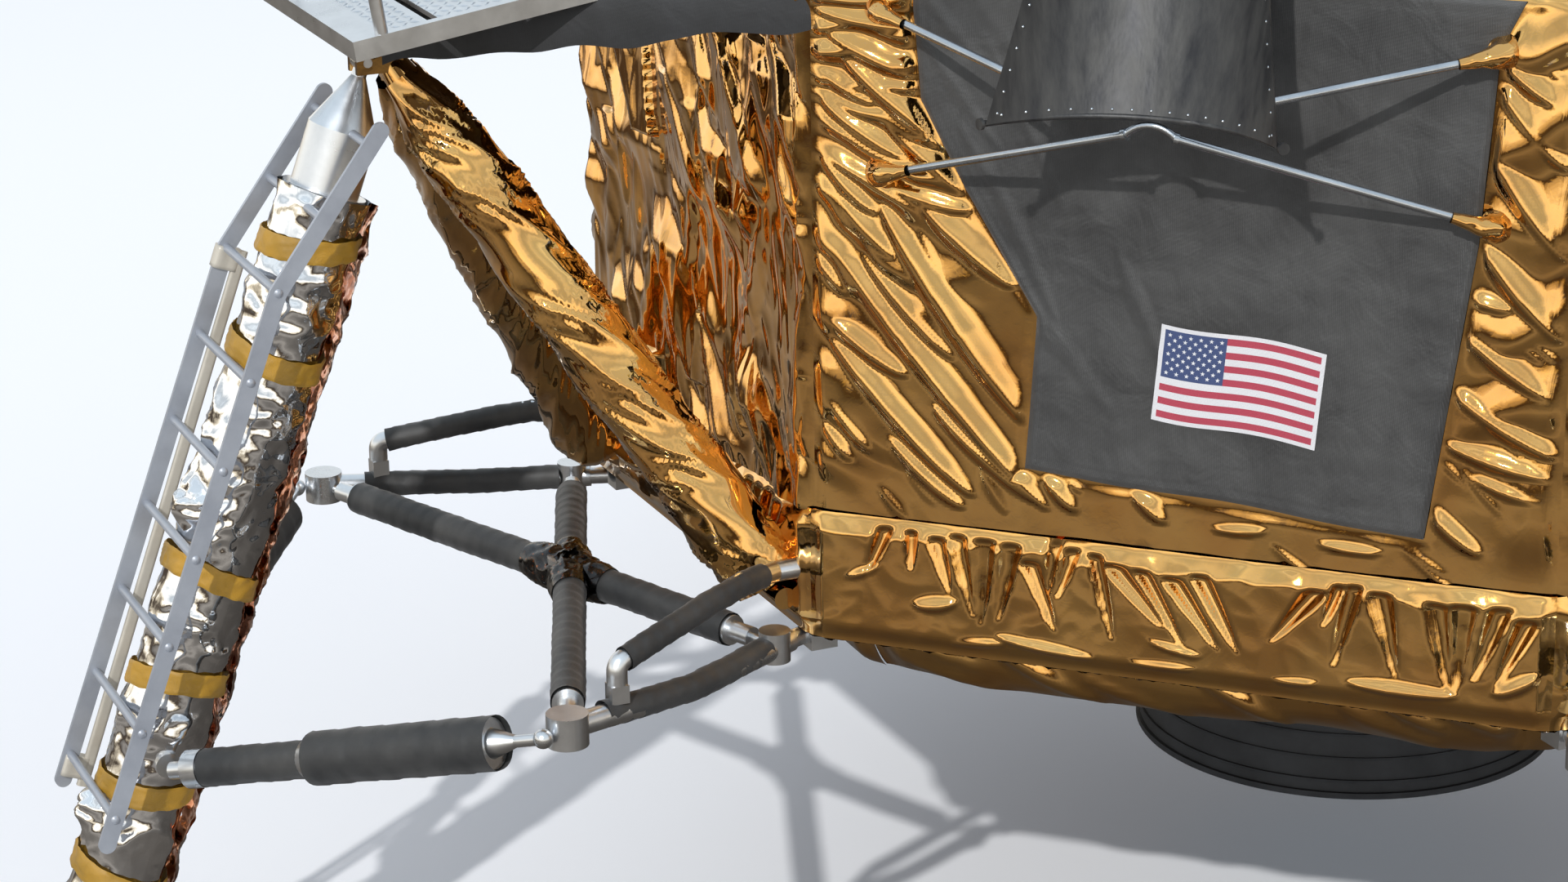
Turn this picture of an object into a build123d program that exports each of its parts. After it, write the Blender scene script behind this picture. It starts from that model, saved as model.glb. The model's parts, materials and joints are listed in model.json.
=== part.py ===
from build123d import *
import os
from math import atan2, cos, degrees, hypot, radians, sin, sqrt

os.makedirs("parts", exist_ok=True)

# Millimetres. The vehicle stands on z = 0 and its axis is x = y = 0. Forward, where the ladder
# and the front hatch are, is -Y, and port is +X. Each leg and each corner face is drawn as if
# it looked forward and is then turned about the axis.
legs = (("forward", 0), ("port", 90), ("aft", 180), ("starboard", 270))
corners = (("fore_port", 45), ("aft_port", 135), ("aft_starboard", 225), ("fore_starboard", 315))

# Clearance left between pieces that seat on each other with curved faces
seat = 0.3
# Clearance round a pin that turns
pin_play = 0.3
# How far a block reaches that cuts one side of a piece away
past_all = 9000

# Descent body: an octagon whose leg faces are narrower than its corner faces
body_floor = 1406
body_height = 1820
leg_face_reach = 2120
leg_face_half = 768
band_height = 341
band_proud = 12
body_top = body_floor + body_height
corner_reach = (leg_face_reach + leg_face_half) / sqrt(2)


def from_edge(across, out, up):
    """A place by a leg face: outboard of its upright edge, out from the face, above the floor."""
    return (leg_face_half + across, leg_face_reach + out, body_floor + up)



# Pan under the body, round the engine opening
pan_depth = 138
pan_inset = 165
pan_draft = 95
pan_opening = 655
engine_bay_radius = 655
engine_bay_height = 1000

# Landing radar under the aft side of the pan: a tilted box on a bracket
landing_radar_reach = 1260
landing_radar_size = (620, 520, 110)
landing_radar_tilt = 14
landing_radar_drop = 150
landing_radar_bracket = (360, 60)

# Descent engine
nozzle_exit_radius = 629
nozzle_exit_z = 481
nozzle_throat_radius = 132
nozzle_throat_z = 2030
nozzle_mid_radius = 452
nozzle_mid_z = 1290
nozzle_wall = 14
# Hoops round the bell: height above ground, how proud, how tall
bell_hoops = (
    (490, 10, 18), (532, 7, 9), (600, 5, 8), (670, 5, 8), (740, 5, 8), (810, 5, 8),
    (880, 5, 8), (950, 5, 8), (1020, 5, 8), (1090, 5, 8), (1160, 5, 8),
)
chamber_radius = 190
chamber_top = 2292
chamber_taper = 90
gimbal_z = 2200
gimbal_ring_inner = 240
gimbal_ring_outer = 286
gimbal_ring_height = 64
gimbal_pin = 20
mount_gap = 16

# Primary strut of a leg: from its top pin to the ball in the footpad
strut_top_reach = leg_face_reach + 926
strut_top_z = body_floor + 1468
strut_lean = degrees(atan2(0.3486, 0.9373))
ball_z = 152
strut_sleeve_radius = 112
strut_sleeve_end = 2400
strut_cone_radius = 92
strut_cone_length = 185
strut_neck_length = 42
strut_collar_end = 350
strut_piston_radius = 64
strut_tip_radius = 20
strut_eye_radius = 30
strut_eye_half = 22
strut_pin_radius = 12
ball_radius = 72

# Footpad
pad_radius = 470
pad_floor_radius = 330
pad_height = 178
pad_wall = 16
pad_hub_radius = 112
pad_hub_height = 172

# Secondary struts, two to a leg
fitting_half = 165
fitting_distance = 1925
fitting_boss_radius = 34
secondary_ball = from_edge(262, 871, -44)
secondary_tube_radius = 46
secondary_sleeve_radius = 66
secondary_collar_radius = 52
secondary_eye_radius = 24
secondary_collar_start = 60
secondary_tube_start = 110
secondary_sleeve_start = 430
secondary_taper = 40
secondary_tail = 150
secondary_cone_radius = 40
secondary_rod_length = 80
secondary_rod_radius = 16

# Truss under a leg's outrigger: two arms and two crossed braces
arm_pivot = from_edge(-69, 6, -33)
arm_knuckle = from_edge(235, 796, -40)
arm_bow = 26
arm_end_gap = 10
arm_radius = 31
arm_bend = 1500
knuckle_radius = 54
knuckle_height = 84
brace_inner = from_edge(-27, 114, -31)
inner_knuckle_radius = 42
brace_clevis = 82
brace_pin = 12
hub_radius = 62
hub_height = 100
brace_radius = 41
brace_end_radius = 27
brace_end_length = 74
foot_block = (74, 76, 70)
link_anchor = from_edge(-46, 102, 166)
link_top = from_edge(15, 218, 179)
link_bottom = from_edge(184, 640, 34)
link_radius = 27
link_bend = 28
saddle_half = 24

# Outriggers from the body's top and bottom corners out to the strut's top
outrigger_apex = (0, strut_top_reach - 72, strut_top_z - 8)
outrigger_foot = from_edge(-125, 65, 77)
outrigger_radius = 74
outrigger_neck_radius = 38
outrigger_neck_length = 210
outrigger_pin_radius = 30
outrigger_end = 110
cover_tube_radius = 34
cover_corner = from_edge(-64, 1, body_height - 128)
cover_apex = (0, strut_top_reach - 61, strut_top_z + 76)
cover_thickness = 24
clevis_ear = 16
clevis_play = 1.0

# Porch over the forward outrigger, and the ladder down that leg
porch_front = strut_top_reach + 154
porch_front_z = strut_top_z + 149
porch_rise = 0.1416
porch_back = leg_face_reach - 10
porch_half = 412
porch_depth = 52
porch_tread = 14
porch_slots = 4
rail_tube = 17
rail_height = 560
rail_bend = 90
rail_foot = 80
ladder_half = 235
rail_width = 46
rail_thickness = 12
# Places along the ladder: distance down the primary strut, and distance in front of its middle
ladder_top = (135.4, -8.8)
ladder_pin = (180.5, 3.3)
ladder_stub = (392.1, 67.5)
ladder_knee = (601.5, 128.4)
rung_step = (242.8, 1.9)
rung_count = 7
rung_radius = 12
ladder_foot_step = 0.7

# Plume deflector on each corner face: height above ground, half width, how far its side edges
# stand off the face, and how deep its trough is
deflector_sections = ((2933, 348, 470, 176), (3228, 292, 350, 160), (4080, 214, 120, 128))
deflector_thickness = 9
deflector_tube = 11
deflector_rod = 8
deflector_rod_past = 14
deflector_cap = 14
deflector_cap_length = 9
deflector_collar = 15
deflector_collar_half = 6
deflector_upper_end = (150, 40)
boot_radius = 26
boot_length = 46
boot_seat = 8
saddle_half_width = 62
saddle_drop = 44
saddle_tube = 9
deflector_anchor_half = 773
deflector_anchor_z = (3085, 2666)

# Blanket on each corner face, as points across the face and above ground, and the flag patch
blanket_points = (
    (-686, 3107), (-665, 2862), (-547, 2642), (-359, 2332), (-388, 1927),
    (632, 1859), (732, 2612), (763, 3090), (818, 3209), (-655, 3209),
)
blanket_thickness = 12
flag_width = 416
flag_height = 250
flag_middle = (160, 2207)
flag_tilt = -5.2
flag_thickness = 3

# Ascent stage: crew cabin, a drum that lies fore and aft, and the middle section behind it
cabin_radius = 1168
cabin_gap = 80
cabin_z = body_top + cabin_gap + cabin_radius
cabin_front = 1850
cabin_back = 790
cabin_wall = 44
nose_half = 560
nose_reach = 1950
nose_bottom = cabin_z - 1034
nose_top = cabin_z + 46
cabin_floor = cabin_z - 982
facet_edge = 330
facet_top_z = cabin_z + 776
window_cant = 26
window_rake = 14
window_corner = 26
window_inner = 90
window_foot = 130
window_top = 120
window_width = 500
window_drop = 560
pane_depth = 8
pane_thickness = 14
# Window over the port station: turn from upright, distance forward, length, width
roof_window = (27, 1480, 330, 150)
roof_window_corner = 30
passage_half = 560
passage_height = 1460
passage_z = cabin_z - 14
passage_corner = 120

# Front hatch, hinged on its starboard edge, and the pins of both hatches
hatch_side = 813
hatch_middle_z = cabin_z - 504
hatch_corner = 90
hatch_thickness = 22
hatch_clear = 6
hatch_play = 9
hatch_lap = 24
hinge_pin = 12
hinge_boss = 24
hatch_hinge_x = 470
hatch_hinge_y = 1880

middle_half = 860
middle_back = 600
middle_bottom = cabin_z - 914
middle_top = cabin_z + 1006
middle_wall = 40
middle_corner = 240
tunnel_radius = 406
tunnel_wall = 36
tunnel_top = middle_top + 510
tunnel_hatch_thickness = 30
top_hinge_inner = 110
top_hinge_y = 470
top_hinge_z = middle_top - 75
docking_flange = 520
docking_flange_height = 46

bay_half = 1120
bay_front = 800
bay_back = 1960
bay_bottom = cabin_z - 954
bay_top = cabin_z + 826
bay_chamfer = 190
bay_neck_half = 640
bay_neck_inset = 240

# Propellant tank housings: side, sign of x, reach outboard, radius, height of the middle
tank_table = (
    ("port", 1, 2150, 690, cabin_z - 324),
    ("starboard", -1, 2000, 640, cabin_z - 294),
)
tank_half_height = 640
tank_middle_y = 30
tank_chamfer = 170

# Thruster clusters on the diagonals, and their booms
cluster_offset = 1680
cluster_z = cabin_z + 86
cluster_half = 100
thruster_exit_radius = 76
thruster_throat_radius = 24
thruster_length = 205
thruster_wall = 6
boom_radius = 26
boom_spread = 90
boom_shoe_y = 1120

# Posts between the stages and the ascent engine
post_half = 640
post_front = 1300
post_back = 1400
post_radius = 62
engine_skirt_radius = 400
engine_neck_radius = 300

# Radar on top of the cabin: it tilts on a cross shaft and turns on an upright pin
radar_z = cabin_z + 2126
radar_y = 1480
radar_mast_y = 1130
radar_mast_radius = 46
fork_half = 150
fork_arm = 26
yoke_half = 34
yoke_back = 66
yoke_arm = 26
yoke_arm_z = 92
dish_pivot = 150
dish_hub = 30
dish_gap = dish_hub * sqrt(2) + hatch_clear
dish_offset = 62
dish_wall = 9
radar_radius = 305
radar_depth = 104
feed_reach = 190
feed_radius = 15

# Steerable antenna: its crank turns on a shaft that points outboard
mast_x = 1500
mast_y = -150
mast_radius = 34
mast_head = 52
antenna_z = cabin_z + 1476
antenna_pivot_x = 2030
antenna_radius = 330
antenna_depth = 96
crank_pin = 24
crank_tube = 22
crank_reach = 410

# Whip antennas
whip_x = 900
whip_y = 1200
whip_radius = 14
whip_top = cabin_z + 2511


def ahead(x, reach, z):
    """A point on the forward side, from its distance across, out and up."""
    return Vector(x, -reach, z)


def rod(start, end, radius, mode=Mode.ADD):
    """Round bar between two points."""
    axis = Vector(end) - Vector(start)
    with Locations(Plane(origin=start, z_dir=axis)):
        Cylinder(radius, axis.length, align=(Align.CENTER, Align.CENTER, Align.MIN), mode=mode)


def tapered_rod(start, end, radius, end_radius, mode=Mode.ADD):
    """Cone between two points, from one radius to another."""
    axis = Vector(end) - Vector(start)
    with Locations(Plane(origin=start, z_dir=axis)):
        Cone(radius, end_radius, axis.length, align=(Align.CENTER, Align.CENTER, Align.MIN), mode=mode)


def turned(start, along, across, stations, ball=0):
    """Solid turned about an axis, from stations of distance and radius, with a ball at its end."""
    reach, radius = stations[-1]
    centre = reach + sqrt(max(ball**2 - radius**2, 0))
    with BuildSketch(Plane(origin=start, x_dir=along, z_dir=across)) as section:
        with BuildLine():
            Polyline((stations[0][0], 0), *stations)
            if ball:
                ThreePointArc((reach, radius), (centre, ball), (centre + ball, 0))
                Line((centre + ball, 0), (stations[0][0], 0))
            else:
                Polyline((reach, radius), (reach, 0), (stations[0][0], 0))
        make_face()
    revolve(section.sketch, axis=Axis(start, along))


def bent_tube(points, bend, radius):
    """Round bar along straight runs joined by arcs of radius bend."""
    with BuildLine() as path:
        FilletPolyline(*points, radius=bend)
    with BuildSketch(Plane(origin=path.line @ 0, z_dir=path.line % 0)) as section:
        Circle(radius)
    sweep(section.sketch, path=path.line)


def block(x_range, y_range, z_range, mode=Mode.ADD):
    """Rectangular block between two limits on each axis."""
    middle = Vector(*((low + high) / 2 for low, high in (x_range, y_range, z_range)))
    size = [abs(high - low) for low, high in (x_range, y_range, z_range)]
    with Locations(middle):
        Box(*size, mode=mode)


def mirrored():
    """Both hands: the sign of x for the starboard and the port member of a pair."""
    return (-1, 1)


def window_points(side, inset):
    """Corners of a window on its facet, from the facet's upper inner corner."""
    return (
        (side * (window_inner + inset), -window_top - inset),
        (side * (window_inner + window_width - 2 * inset), -window_top - inset),
        (side * (window_foot + inset), -window_top - window_drop + 2 * inset),
    )


def body_outline(inset):
    """The body's octagon, moved in by inset on all eight sides."""
    half = leg_face_half - inset * (sqrt(2) - 1)
    reach = leg_face_reach - inset
    Polygon(
        (-half, -reach), (half, -reach), (reach, -half), (reach, half),
        (half, reach), (-half, reach), (-reach, half), (-reach, -half),
        align=None,
    )


def save(piece, name):
    """Label a finished piece and write it under the same name."""
    piece.part.label = name
    export_step(piece.part, f"parts/{name}.step")


def save_turned(piece, stem, places):
    """Write one copy of a piece for each named turn about the vehicle's axis."""
    for place, turn in places:
        with BuildPart() as copy:
            add(piece.part, rotation=(0, 0, turn))
        save(copy, f"{stem}_{place}")


def save_together(piece, name, places):
    """Write the copies of a piece at every turn as one node of separate solids."""
    with BuildPart() as group:
        for place, turn in places:
            add(piece.part, rotation=(0, 0, turn))
    save(group, name)


# Descent body with its bottom band and the bay that the engine hangs in
with BuildPart() as descent_body:
    with BuildSketch(Plane.XY.offset(body_floor)):
        body_outline(0)
    extrude(amount=body_height)
    with BuildSketch(Plane.XY.offset(body_floor)):
        body_outline(-band_proud)
    extrude(amount=band_height)
    with BuildSketch(Plane.XY.offset(body_floor)):
        Circle(engine_bay_radius)
    extrude(amount=engine_bay_height, mode=Mode.SUBTRACT)
save(descent_body, "descent_body")

# Pan under the body
with BuildPart() as base_pan:
    with BuildSketch(Plane.XY.offset(body_floor)):
        body_outline(pan_inset)
    with BuildSketch(Plane.XY.offset(body_floor - pan_depth)):
        body_outline(pan_inset + pan_draft)
    loft(ruled=True)
    with BuildSketch(Plane.XY.offset(body_floor)):
        Circle(pan_opening)
    extrude(amount=-pan_depth, mode=Mode.SUBTRACT)
save(base_pan, "base_pan")

# Landing radar, hung under the pan
with BuildPart() as landing_radar:
    pan_bottom = body_floor - pan_depth
    radar_middle = Vector(0, landing_radar_reach, pan_bottom - landing_radar_drop)
    with Locations(Location(radar_middle, (landing_radar_tilt, 0, 0))):
        Box(*landing_radar_size)
    chamfer(landing_radar.edges().filter_by(Axis.X), length=landing_radar_size[2] / 4)
    for side in mirrored():
        x = side * landing_radar_bracket[0] / 2
        block(
            (x - landing_radar_bracket[1] / 2, x + landing_radar_bracket[1] / 2),
            (landing_radar_reach - landing_radar_bracket[1], landing_radar_reach + landing_radar_bracket[1]),
            (radar_middle.Z, pan_bottom),
        )
save(landing_radar, "landing_radar")

# Outer curve of the bell, which its hoops sit on
with BuildLine() as bell_line:
    bell_curve = ThreePointArc(
        (nozzle_exit_radius, nozzle_exit_z),
        (nozzle_mid_radius, nozzle_mid_z),
        (nozzle_throat_radius, nozzle_throat_z),
    )


def bell_radius(z):
    """Outer radius of the bell at a height."""
    centre = bell_curve.arc_center
    return centre.X + sqrt(bell_curve.radius**2 - (z - centre.Y) ** 2)


# Descent engine: bell with its hoops, throat and chamber turned about the axis
with BuildPart() as engine_bell:
    with BuildSketch(Plane.XZ) as section:
        with BuildLine():
            ThreePointArc(
                (nozzle_exit_radius, nozzle_exit_z),
                (nozzle_mid_radius, nozzle_mid_z),
                (nozzle_throat_radius, nozzle_throat_z),
            )
            Polyline(
                (nozzle_throat_radius, nozzle_throat_z),
                (chamber_radius, nozzle_throat_z + chamber_taper),
                (chamber_radius, chamber_top),
                (0, chamber_top),
                (0, nozzle_throat_z),
                (nozzle_throat_radius - nozzle_wall, nozzle_throat_z),
            )
            ThreePointArc(
                (nozzle_throat_radius - nozzle_wall, nozzle_throat_z),
                (nozzle_mid_radius - nozzle_wall, nozzle_mid_z - 4),
                (nozzle_exit_radius - nozzle_wall, nozzle_exit_z),
            )
            Line((nozzle_exit_radius - nozzle_wall, nozzle_exit_z), (nozzle_exit_radius, nozzle_exit_z))
        make_face()
    revolve(axis=Axis.Z)
    with BuildSketch(Plane.XZ) as hoops:
        for z, proud, tall in bell_hoops:
            inner = bell_radius(z) - nozzle_wall / 2
            with Locations((inner, z)):
                Rectangle(nozzle_wall / 2 + proud, tall, align=(Align.MIN, Align.CENTER))
    revolve(hoops.sketch, axis=Axis.Z)
    for side in mirrored():
        rod(
            (0, side * (chamber_radius - nozzle_wall), gimbal_z),
            (0, side * (gimbal_ring_outer - nozzle_wall), gimbal_z),
            gimbal_pin,
        )
save(engine_bell, "engine_bell")

# Ring that the engine tilts in, with pins across it
with BuildPart() as gimbal_ring:
    with BuildSketch(Plane.XY.offset(gimbal_z - gimbal_ring_height / 2)):
        Circle(gimbal_ring_outer)
        Circle(gimbal_ring_inner, mode=Mode.SUBTRACT)
    extrude(amount=gimbal_ring_height)
    rod(
        (0, -gimbal_ring_outer - 1, gimbal_z),
        (0, gimbal_ring_outer + 1, gimbal_z),
        gimbal_pin + pin_play,
        mode=Mode.SUBTRACT,
    )
    for side in mirrored():
        rod(
            (side * (gimbal_ring_outer - nozzle_wall), 0, gimbal_z),
            (side * (gimbal_ring_outer + 4 * gimbal_pin), 0, gimbal_z),
            gimbal_pin,
        )
save(gimbal_ring, "gimbal_ring")

# Two beams that carry the ring from the wall of the bay
with BuildPart() as engine_mounts:
    for side in mirrored():
        inner = gimbal_ring_outer + mount_gap
        with Locations((side * (inner + engine_bay_radius) / 2, 0, gimbal_z)):
            Box(engine_bay_radius - inner, 4 * gimbal_pin, 4 * gimbal_pin)
    with BuildSketch(Plane.XY.offset(gimbal_z - 3 * gimbal_pin)):
        Circle(engine_bay_radius - seat)
    extrude(amount=6 * gimbal_pin, mode=Mode.INTERSECT)
    rod(
        (-gimbal_ring_outer - 4.5 * gimbal_pin, 0, gimbal_z),
        (gimbal_ring_outer + 4.5 * gimbal_pin, 0, gimbal_z),
        gimbal_pin + pin_play,
        mode=Mode.SUBTRACT,
    )
save(engine_mounts, "engine_mounts")


def on_strut(distance, front=0, side=0):
    """A point by the distance down the primary strut, in front of it and to its side."""
    lean = radians(strut_lean)
    return ahead(
        side,
        strut_top_reach + distance * sin(lean) + front * cos(lean),
        strut_top_z - distance * cos(lean) + front * sin(lean),
    )


strut_length = (strut_top_z - ball_z) / cos(radians(strut_lean))
pad_reach = -on_strut(strut_length).Y

# Primary strut, with the lugs that its two secondary struts hold on to
with BuildPart() as primary_strut:
    turned(
        on_strut(0),
        (on_strut(1) - on_strut(0)).normalized(),
        (1, 0, 0),
        (
            (0, strut_tip_radius),
            (strut_neck_length, strut_tip_radius),
            (strut_cone_length, strut_cone_radius),
            (strut_collar_end, strut_cone_radius),
            (strut_collar_end, strut_sleeve_radius),
            (strut_sleeve_end, strut_sleeve_radius),
            (strut_sleeve_end, strut_piston_radius),
            (strut_length - sqrt(ball_radius**2 - strut_piston_radius**2), strut_piston_radius),
        ),
        ball_radius,
    )
    rod(on_strut(0, 0, -strut_eye_half), on_strut(0, 0, strut_eye_half), strut_eye_radius)
    pin_half = strut_eye_half + clevis_play + clevis_ear
    rod(on_strut(0, 0, -pin_half), on_strut(0, 0, pin_half), strut_pin_radius)
    rod(
        on_strut(fitting_distance, 0, -fitting_half + fitting_boss_radius),
        on_strut(fitting_distance, 0, fitting_half - fitting_boss_radius),
        fitting_boss_radius,
    )
save_turned(primary_strut, "primary_strut", legs)

# Footpad: a dish with a socket for the strut's ball
pad_flare = pad_radius - pad_floor_radius
with BuildPart() as footpad:
    with BuildSketch(Plane.XZ.offset(pad_reach)):
        with BuildLine():
            Line((0, 0), (pad_floor_radius, 0))
            ThreePointArc(
                (pad_floor_radius, 0),
                (pad_radius - 0.22 * pad_flare, 0.34 * pad_height),
                (pad_radius, pad_height),
            )
            Line((pad_radius, pad_height), (pad_radius - pad_wall, pad_height))
            ThreePointArc(
                (pad_radius - pad_wall, pad_height),
                (pad_radius - pad_wall - 0.24 * pad_flare, 0.36 * pad_height + pad_wall / 2),
                (pad_floor_radius - pad_wall / 2, pad_wall),
            )
            Polyline(
                (pad_floor_radius - pad_wall / 2, pad_wall),
                (1.6 * pad_hub_radius, 1.6 * pad_wall),
                (pad_hub_radius, pad_hub_height - pad_wall),
                (pad_hub_radius - pad_wall, pad_hub_height),
                (0, pad_hub_height),
                (0, 0),
            )
        make_face()
    revolve(axis=Axis((0, -pad_reach, 0), (0, 0, 1)))
    with Locations(on_strut(strut_length)):
        Sphere(ball_radius + seat, mode=Mode.SUBTRACT)
    tapered_rod(
        on_strut(strut_length),
        on_strut(strut_length - 2 * ball_radius),
        ball_radius,
        1.7 * ball_radius,
        mode=Mode.SUBTRACT,
    )
save_together(footpad, "footpads", legs)

secondary_ball_radius = (Vector(*secondary_ball) - Vector(*arm_knuckle)).length - knuckle_radius - seat

# Secondary struts: eye at the primary strut, collar, tube, sleeve, cone and ball
with BuildPart() as secondary_struts:
    for side in mirrored():
        far = ahead(side * secondary_ball[0], secondary_ball[1], secondary_ball[2])
        near = on_strut(fitting_distance, 0, side * fitting_half)
        along = (far - near).normalized()
        span = (far - near).length
        ball = secondary_ball_radius
        turned(
            near,
            along,
            along.cross(Vector(0, 0, 1)).normalized(),
            (
                (seat, secondary_eye_radius),
                (secondary_collar_start, secondary_eye_radius),
                (secondary_collar_start, secondary_collar_radius),
                (secondary_tube_start, secondary_collar_radius),
                (secondary_tube_start, secondary_tube_radius),
                (secondary_sleeve_start, secondary_tube_radius),
                (secondary_sleeve_start + secondary_taper, secondary_sleeve_radius),
                (span - secondary_tail, secondary_sleeve_radius),
                (span - secondary_tail, secondary_cone_radius),
                (span - secondary_rod_length, secondary_rod_radius),
                (span - sqrt(ball**2 - secondary_rod_radius**2), secondary_rod_radius),
            ),
            ball,
        )
save_together(secondary_struts, "secondary_struts", legs)

# Truss arms from the body's bottom corners, each with the bent link from it up to the body
with BuildPart() as truss_arms:
    for side in mirrored():
        pivot = ahead(side * arm_pivot[0], arm_pivot[1], arm_pivot[2])
        knuckle = ahead(side * arm_knuckle[0], arm_knuckle[1], arm_knuckle[2])
        inner_knuckle = ahead(side * brace_inner[0], brace_inner[1], brace_inner[2])
        outward = (knuckle - pivot).normalized()
        middle = (pivot + knuckle) * 0.5 + Vector(side * arm_bow, 0, -arm_bow / 2)
        rod(pivot + outward * arm_end_gap, pivot + outward * 80, 0.8 * arm_radius)
        bent_tube((pivot + outward * 60, middle, knuckle - outward * arm_radius), arm_bend, arm_radius)
        with Locations(knuckle):
            Cylinder(knuckle_radius, knuckle_height)
        with Locations(inner_knuckle):
            Cylinder(inner_knuckle_radius, knuckle_height)
        saddle = ahead(side * link_bottom[0], link_bottom[1], link_bottom[2])
        with Locations(saddle - Vector(0, 0, saddle_half + seat)):
            Box(2 * saddle_half, 2 * saddle_half, 2 * saddle_half)
        lug = ahead(side * link_anchor[0], leg_face_reach + band_proud, link_anchor[2])
        elbow = ahead(side * link_anchor[0], link_anchor[1], link_anchor[2])
        top = ahead(side * link_top[0], link_top[1], link_top[2])
        knee = saddle + Vector(0, 0, 2 * link_radius)
        bent_tube((lug, elbow, top, knee, saddle), link_bend, link_radius)
save_together(truss_arms, "truss_arms", legs)

# Braces that cross between the arms and are joined where they meet
with BuildPart() as truss_braces:
    share = brace_inner[0] / (brace_inner[0] + arm_knuckle[0])
    cross = ahead(
        0,
        brace_inner[1] + share * (arm_knuckle[1] - brace_inner[1]),
        brace_inner[2] + share * (arm_knuckle[2] - brace_inner[2]),
    )
    for side in mirrored():
        inner_end = ahead(side * brace_inner[0], brace_inner[1], brace_inner[2])
        outer_end = ahead(-side * arm_knuckle[0], arm_knuckle[1], arm_knuckle[2])
        for end, reach in ((inner_end, inner_knuckle_radius), (outer_end, knuckle_radius)):
            toward = (cross - end).normalized()
            fork = end + toward * brace_clevis
            neck = fork + toward * brace_end_length
            rod(end + toward * (reach + seat), fork + toward, brace_pin)
            rod(fork, neck, brace_end_radius)
            rod(neck - toward, cross, brace_radius)
    with Locations(cross):
        Cylinder(hub_radius, hub_height)
save_together(truss_braces, "truss_braces", legs)

# Blocks under the body's corners that the arms and braces are pinned to
with BuildPart() as foot_blocks:
    for side in mirrored():
        with Locations(
            ahead(
                side * arm_pivot[0],
                arm_pivot[1] - seat - foot_block[1] / 2,
                body_floor - foot_block[2] / 2,
            )
        ):
            Box(*foot_block)
save_together(foot_blocks, "truss_foot_blocks", legs)

# Outrigger: wrapped tubes from the apex down to the body's bottom corners, with the clevis that
# holds the top of the primary strut
with BuildPart() as outrigger:
    apex = ahead(*outrigger_apex)
    for side in mirrored():
        foot = ahead(side * outrigger_foot[0], outrigger_foot[1], outrigger_foot[2])
        down = (foot - apex).normalized()
        neck = apex + down * outrigger_neck_length
        tapered_rod(apex, neck, outrigger_neck_radius, outrigger_radius)
        rod(neck, foot - down * outrigger_end, outrigger_radius)
        tapered_rod(
            foot - down * outrigger_end,
            foot - down * 40,
            outrigger_radius - 2,
            outrigger_pin_radius,
        )
        rod(foot - down * 60, foot, 0.8 * outrigger_pin_radius)
        rod(
            ahead(side * (outrigger_foot[0] - 40), outrigger_foot[1], outrigger_foot[2]),
            ahead(side * (outrigger_foot[0] + 60), outrigger_foot[1], outrigger_foot[2]),
            outrigger_pin_radius,
        )
        block(
            (side * outrigger_foot[0] - 22, side * outrigger_foot[0] + 22),
            (-outrigger_foot[1], -leg_face_reach - band_proud),
            (outrigger_foot[2] - 22, outrigger_foot[2] + 22),
        )
        inner_ear = strut_eye_half + clevis_play
        ear = sorted((side * inner_ear, side * (inner_ear + clevis_ear)))
        block(
            ear,
            (-strut_top_reach - strut_eye_radius, -outrigger_apex[1] + 24),
            (strut_top_z - strut_eye_radius, strut_top_z + strut_eye_radius),
        )
    rod(
        ahead(-100, strut_top_reach, strut_top_z),
        ahead(100, strut_top_reach, strut_top_z),
        strut_pin_radius + pin_play,
        mode=Mode.SUBTRACT,
    )
save_turned(outrigger, "outrigger", legs)

# Cover over the upper outrigger tubes
with BuildPart() as outrigger_cover:
    apex = ahead(*cover_apex)
    for side in mirrored():
        rod(apex, ahead(side * cover_corner[0], cover_corner[1], cover_corner[2]), cover_tube_radius)
    lift = (cover_corner[2] - cover_apex[2]) / (cover_apex[1] - cover_corner[1])
    slope = Plane(origin=apex, x_dir=(1, 0, 0), z_dir=(0, -lift, 1))
    run = hypot(cover_apex[1] - cover_corner[1], cover_corner[2] - cover_apex[2])
    with BuildSketch(slope):
        Polygon((0, 0), (cover_corner[0], run), (-cover_corner[0], run), align=None)
    extrude(amount=cover_thickness)
    block((-past_all, past_all), (-leg_face_reach, 0), (0, past_all), mode=Mode.SUBTRACT)
save_together(outrigger_cover, "outrigger_covers", legs)

# Porch: a sloping frame with slotted treads
porch_angle = degrees(atan2(porch_rise, 1))
porch_run = (porch_front - porch_back) / cos(radians(porch_angle))
porch_plane = Plane(
    origin=(0, -porch_front, porch_front_z),
    x_dir=(1, 0, 0),
    z_dir=(0, -porch_rise, 1),
)
with BuildPart() as porch:
    with BuildSketch(porch_plane):
        with Locations((0, porch_run / 2)):
            Rectangle(2 * porch_half, porch_run)
            Rectangle(2 * porch_half - 60, porch_run - 60, mode=Mode.SUBTRACT)
    extrude(amount=-porch_depth)
    tread_pitch = porch_run / (porch_slots + 1)
    with BuildSketch(porch_plane):
        for index in range(porch_slots + 1):
            with Locations((0, (index + 0.5) * tread_pitch)):
                Rectangle(2 * porch_half - 20, tread_pitch - 28)
    extrude(amount=-porch_tread)
    block((-past_all, past_all), (-leg_face_reach - seat, 0), (0, past_all), mode=Mode.SUBTRACT)
save(porch, "porch")

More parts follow.
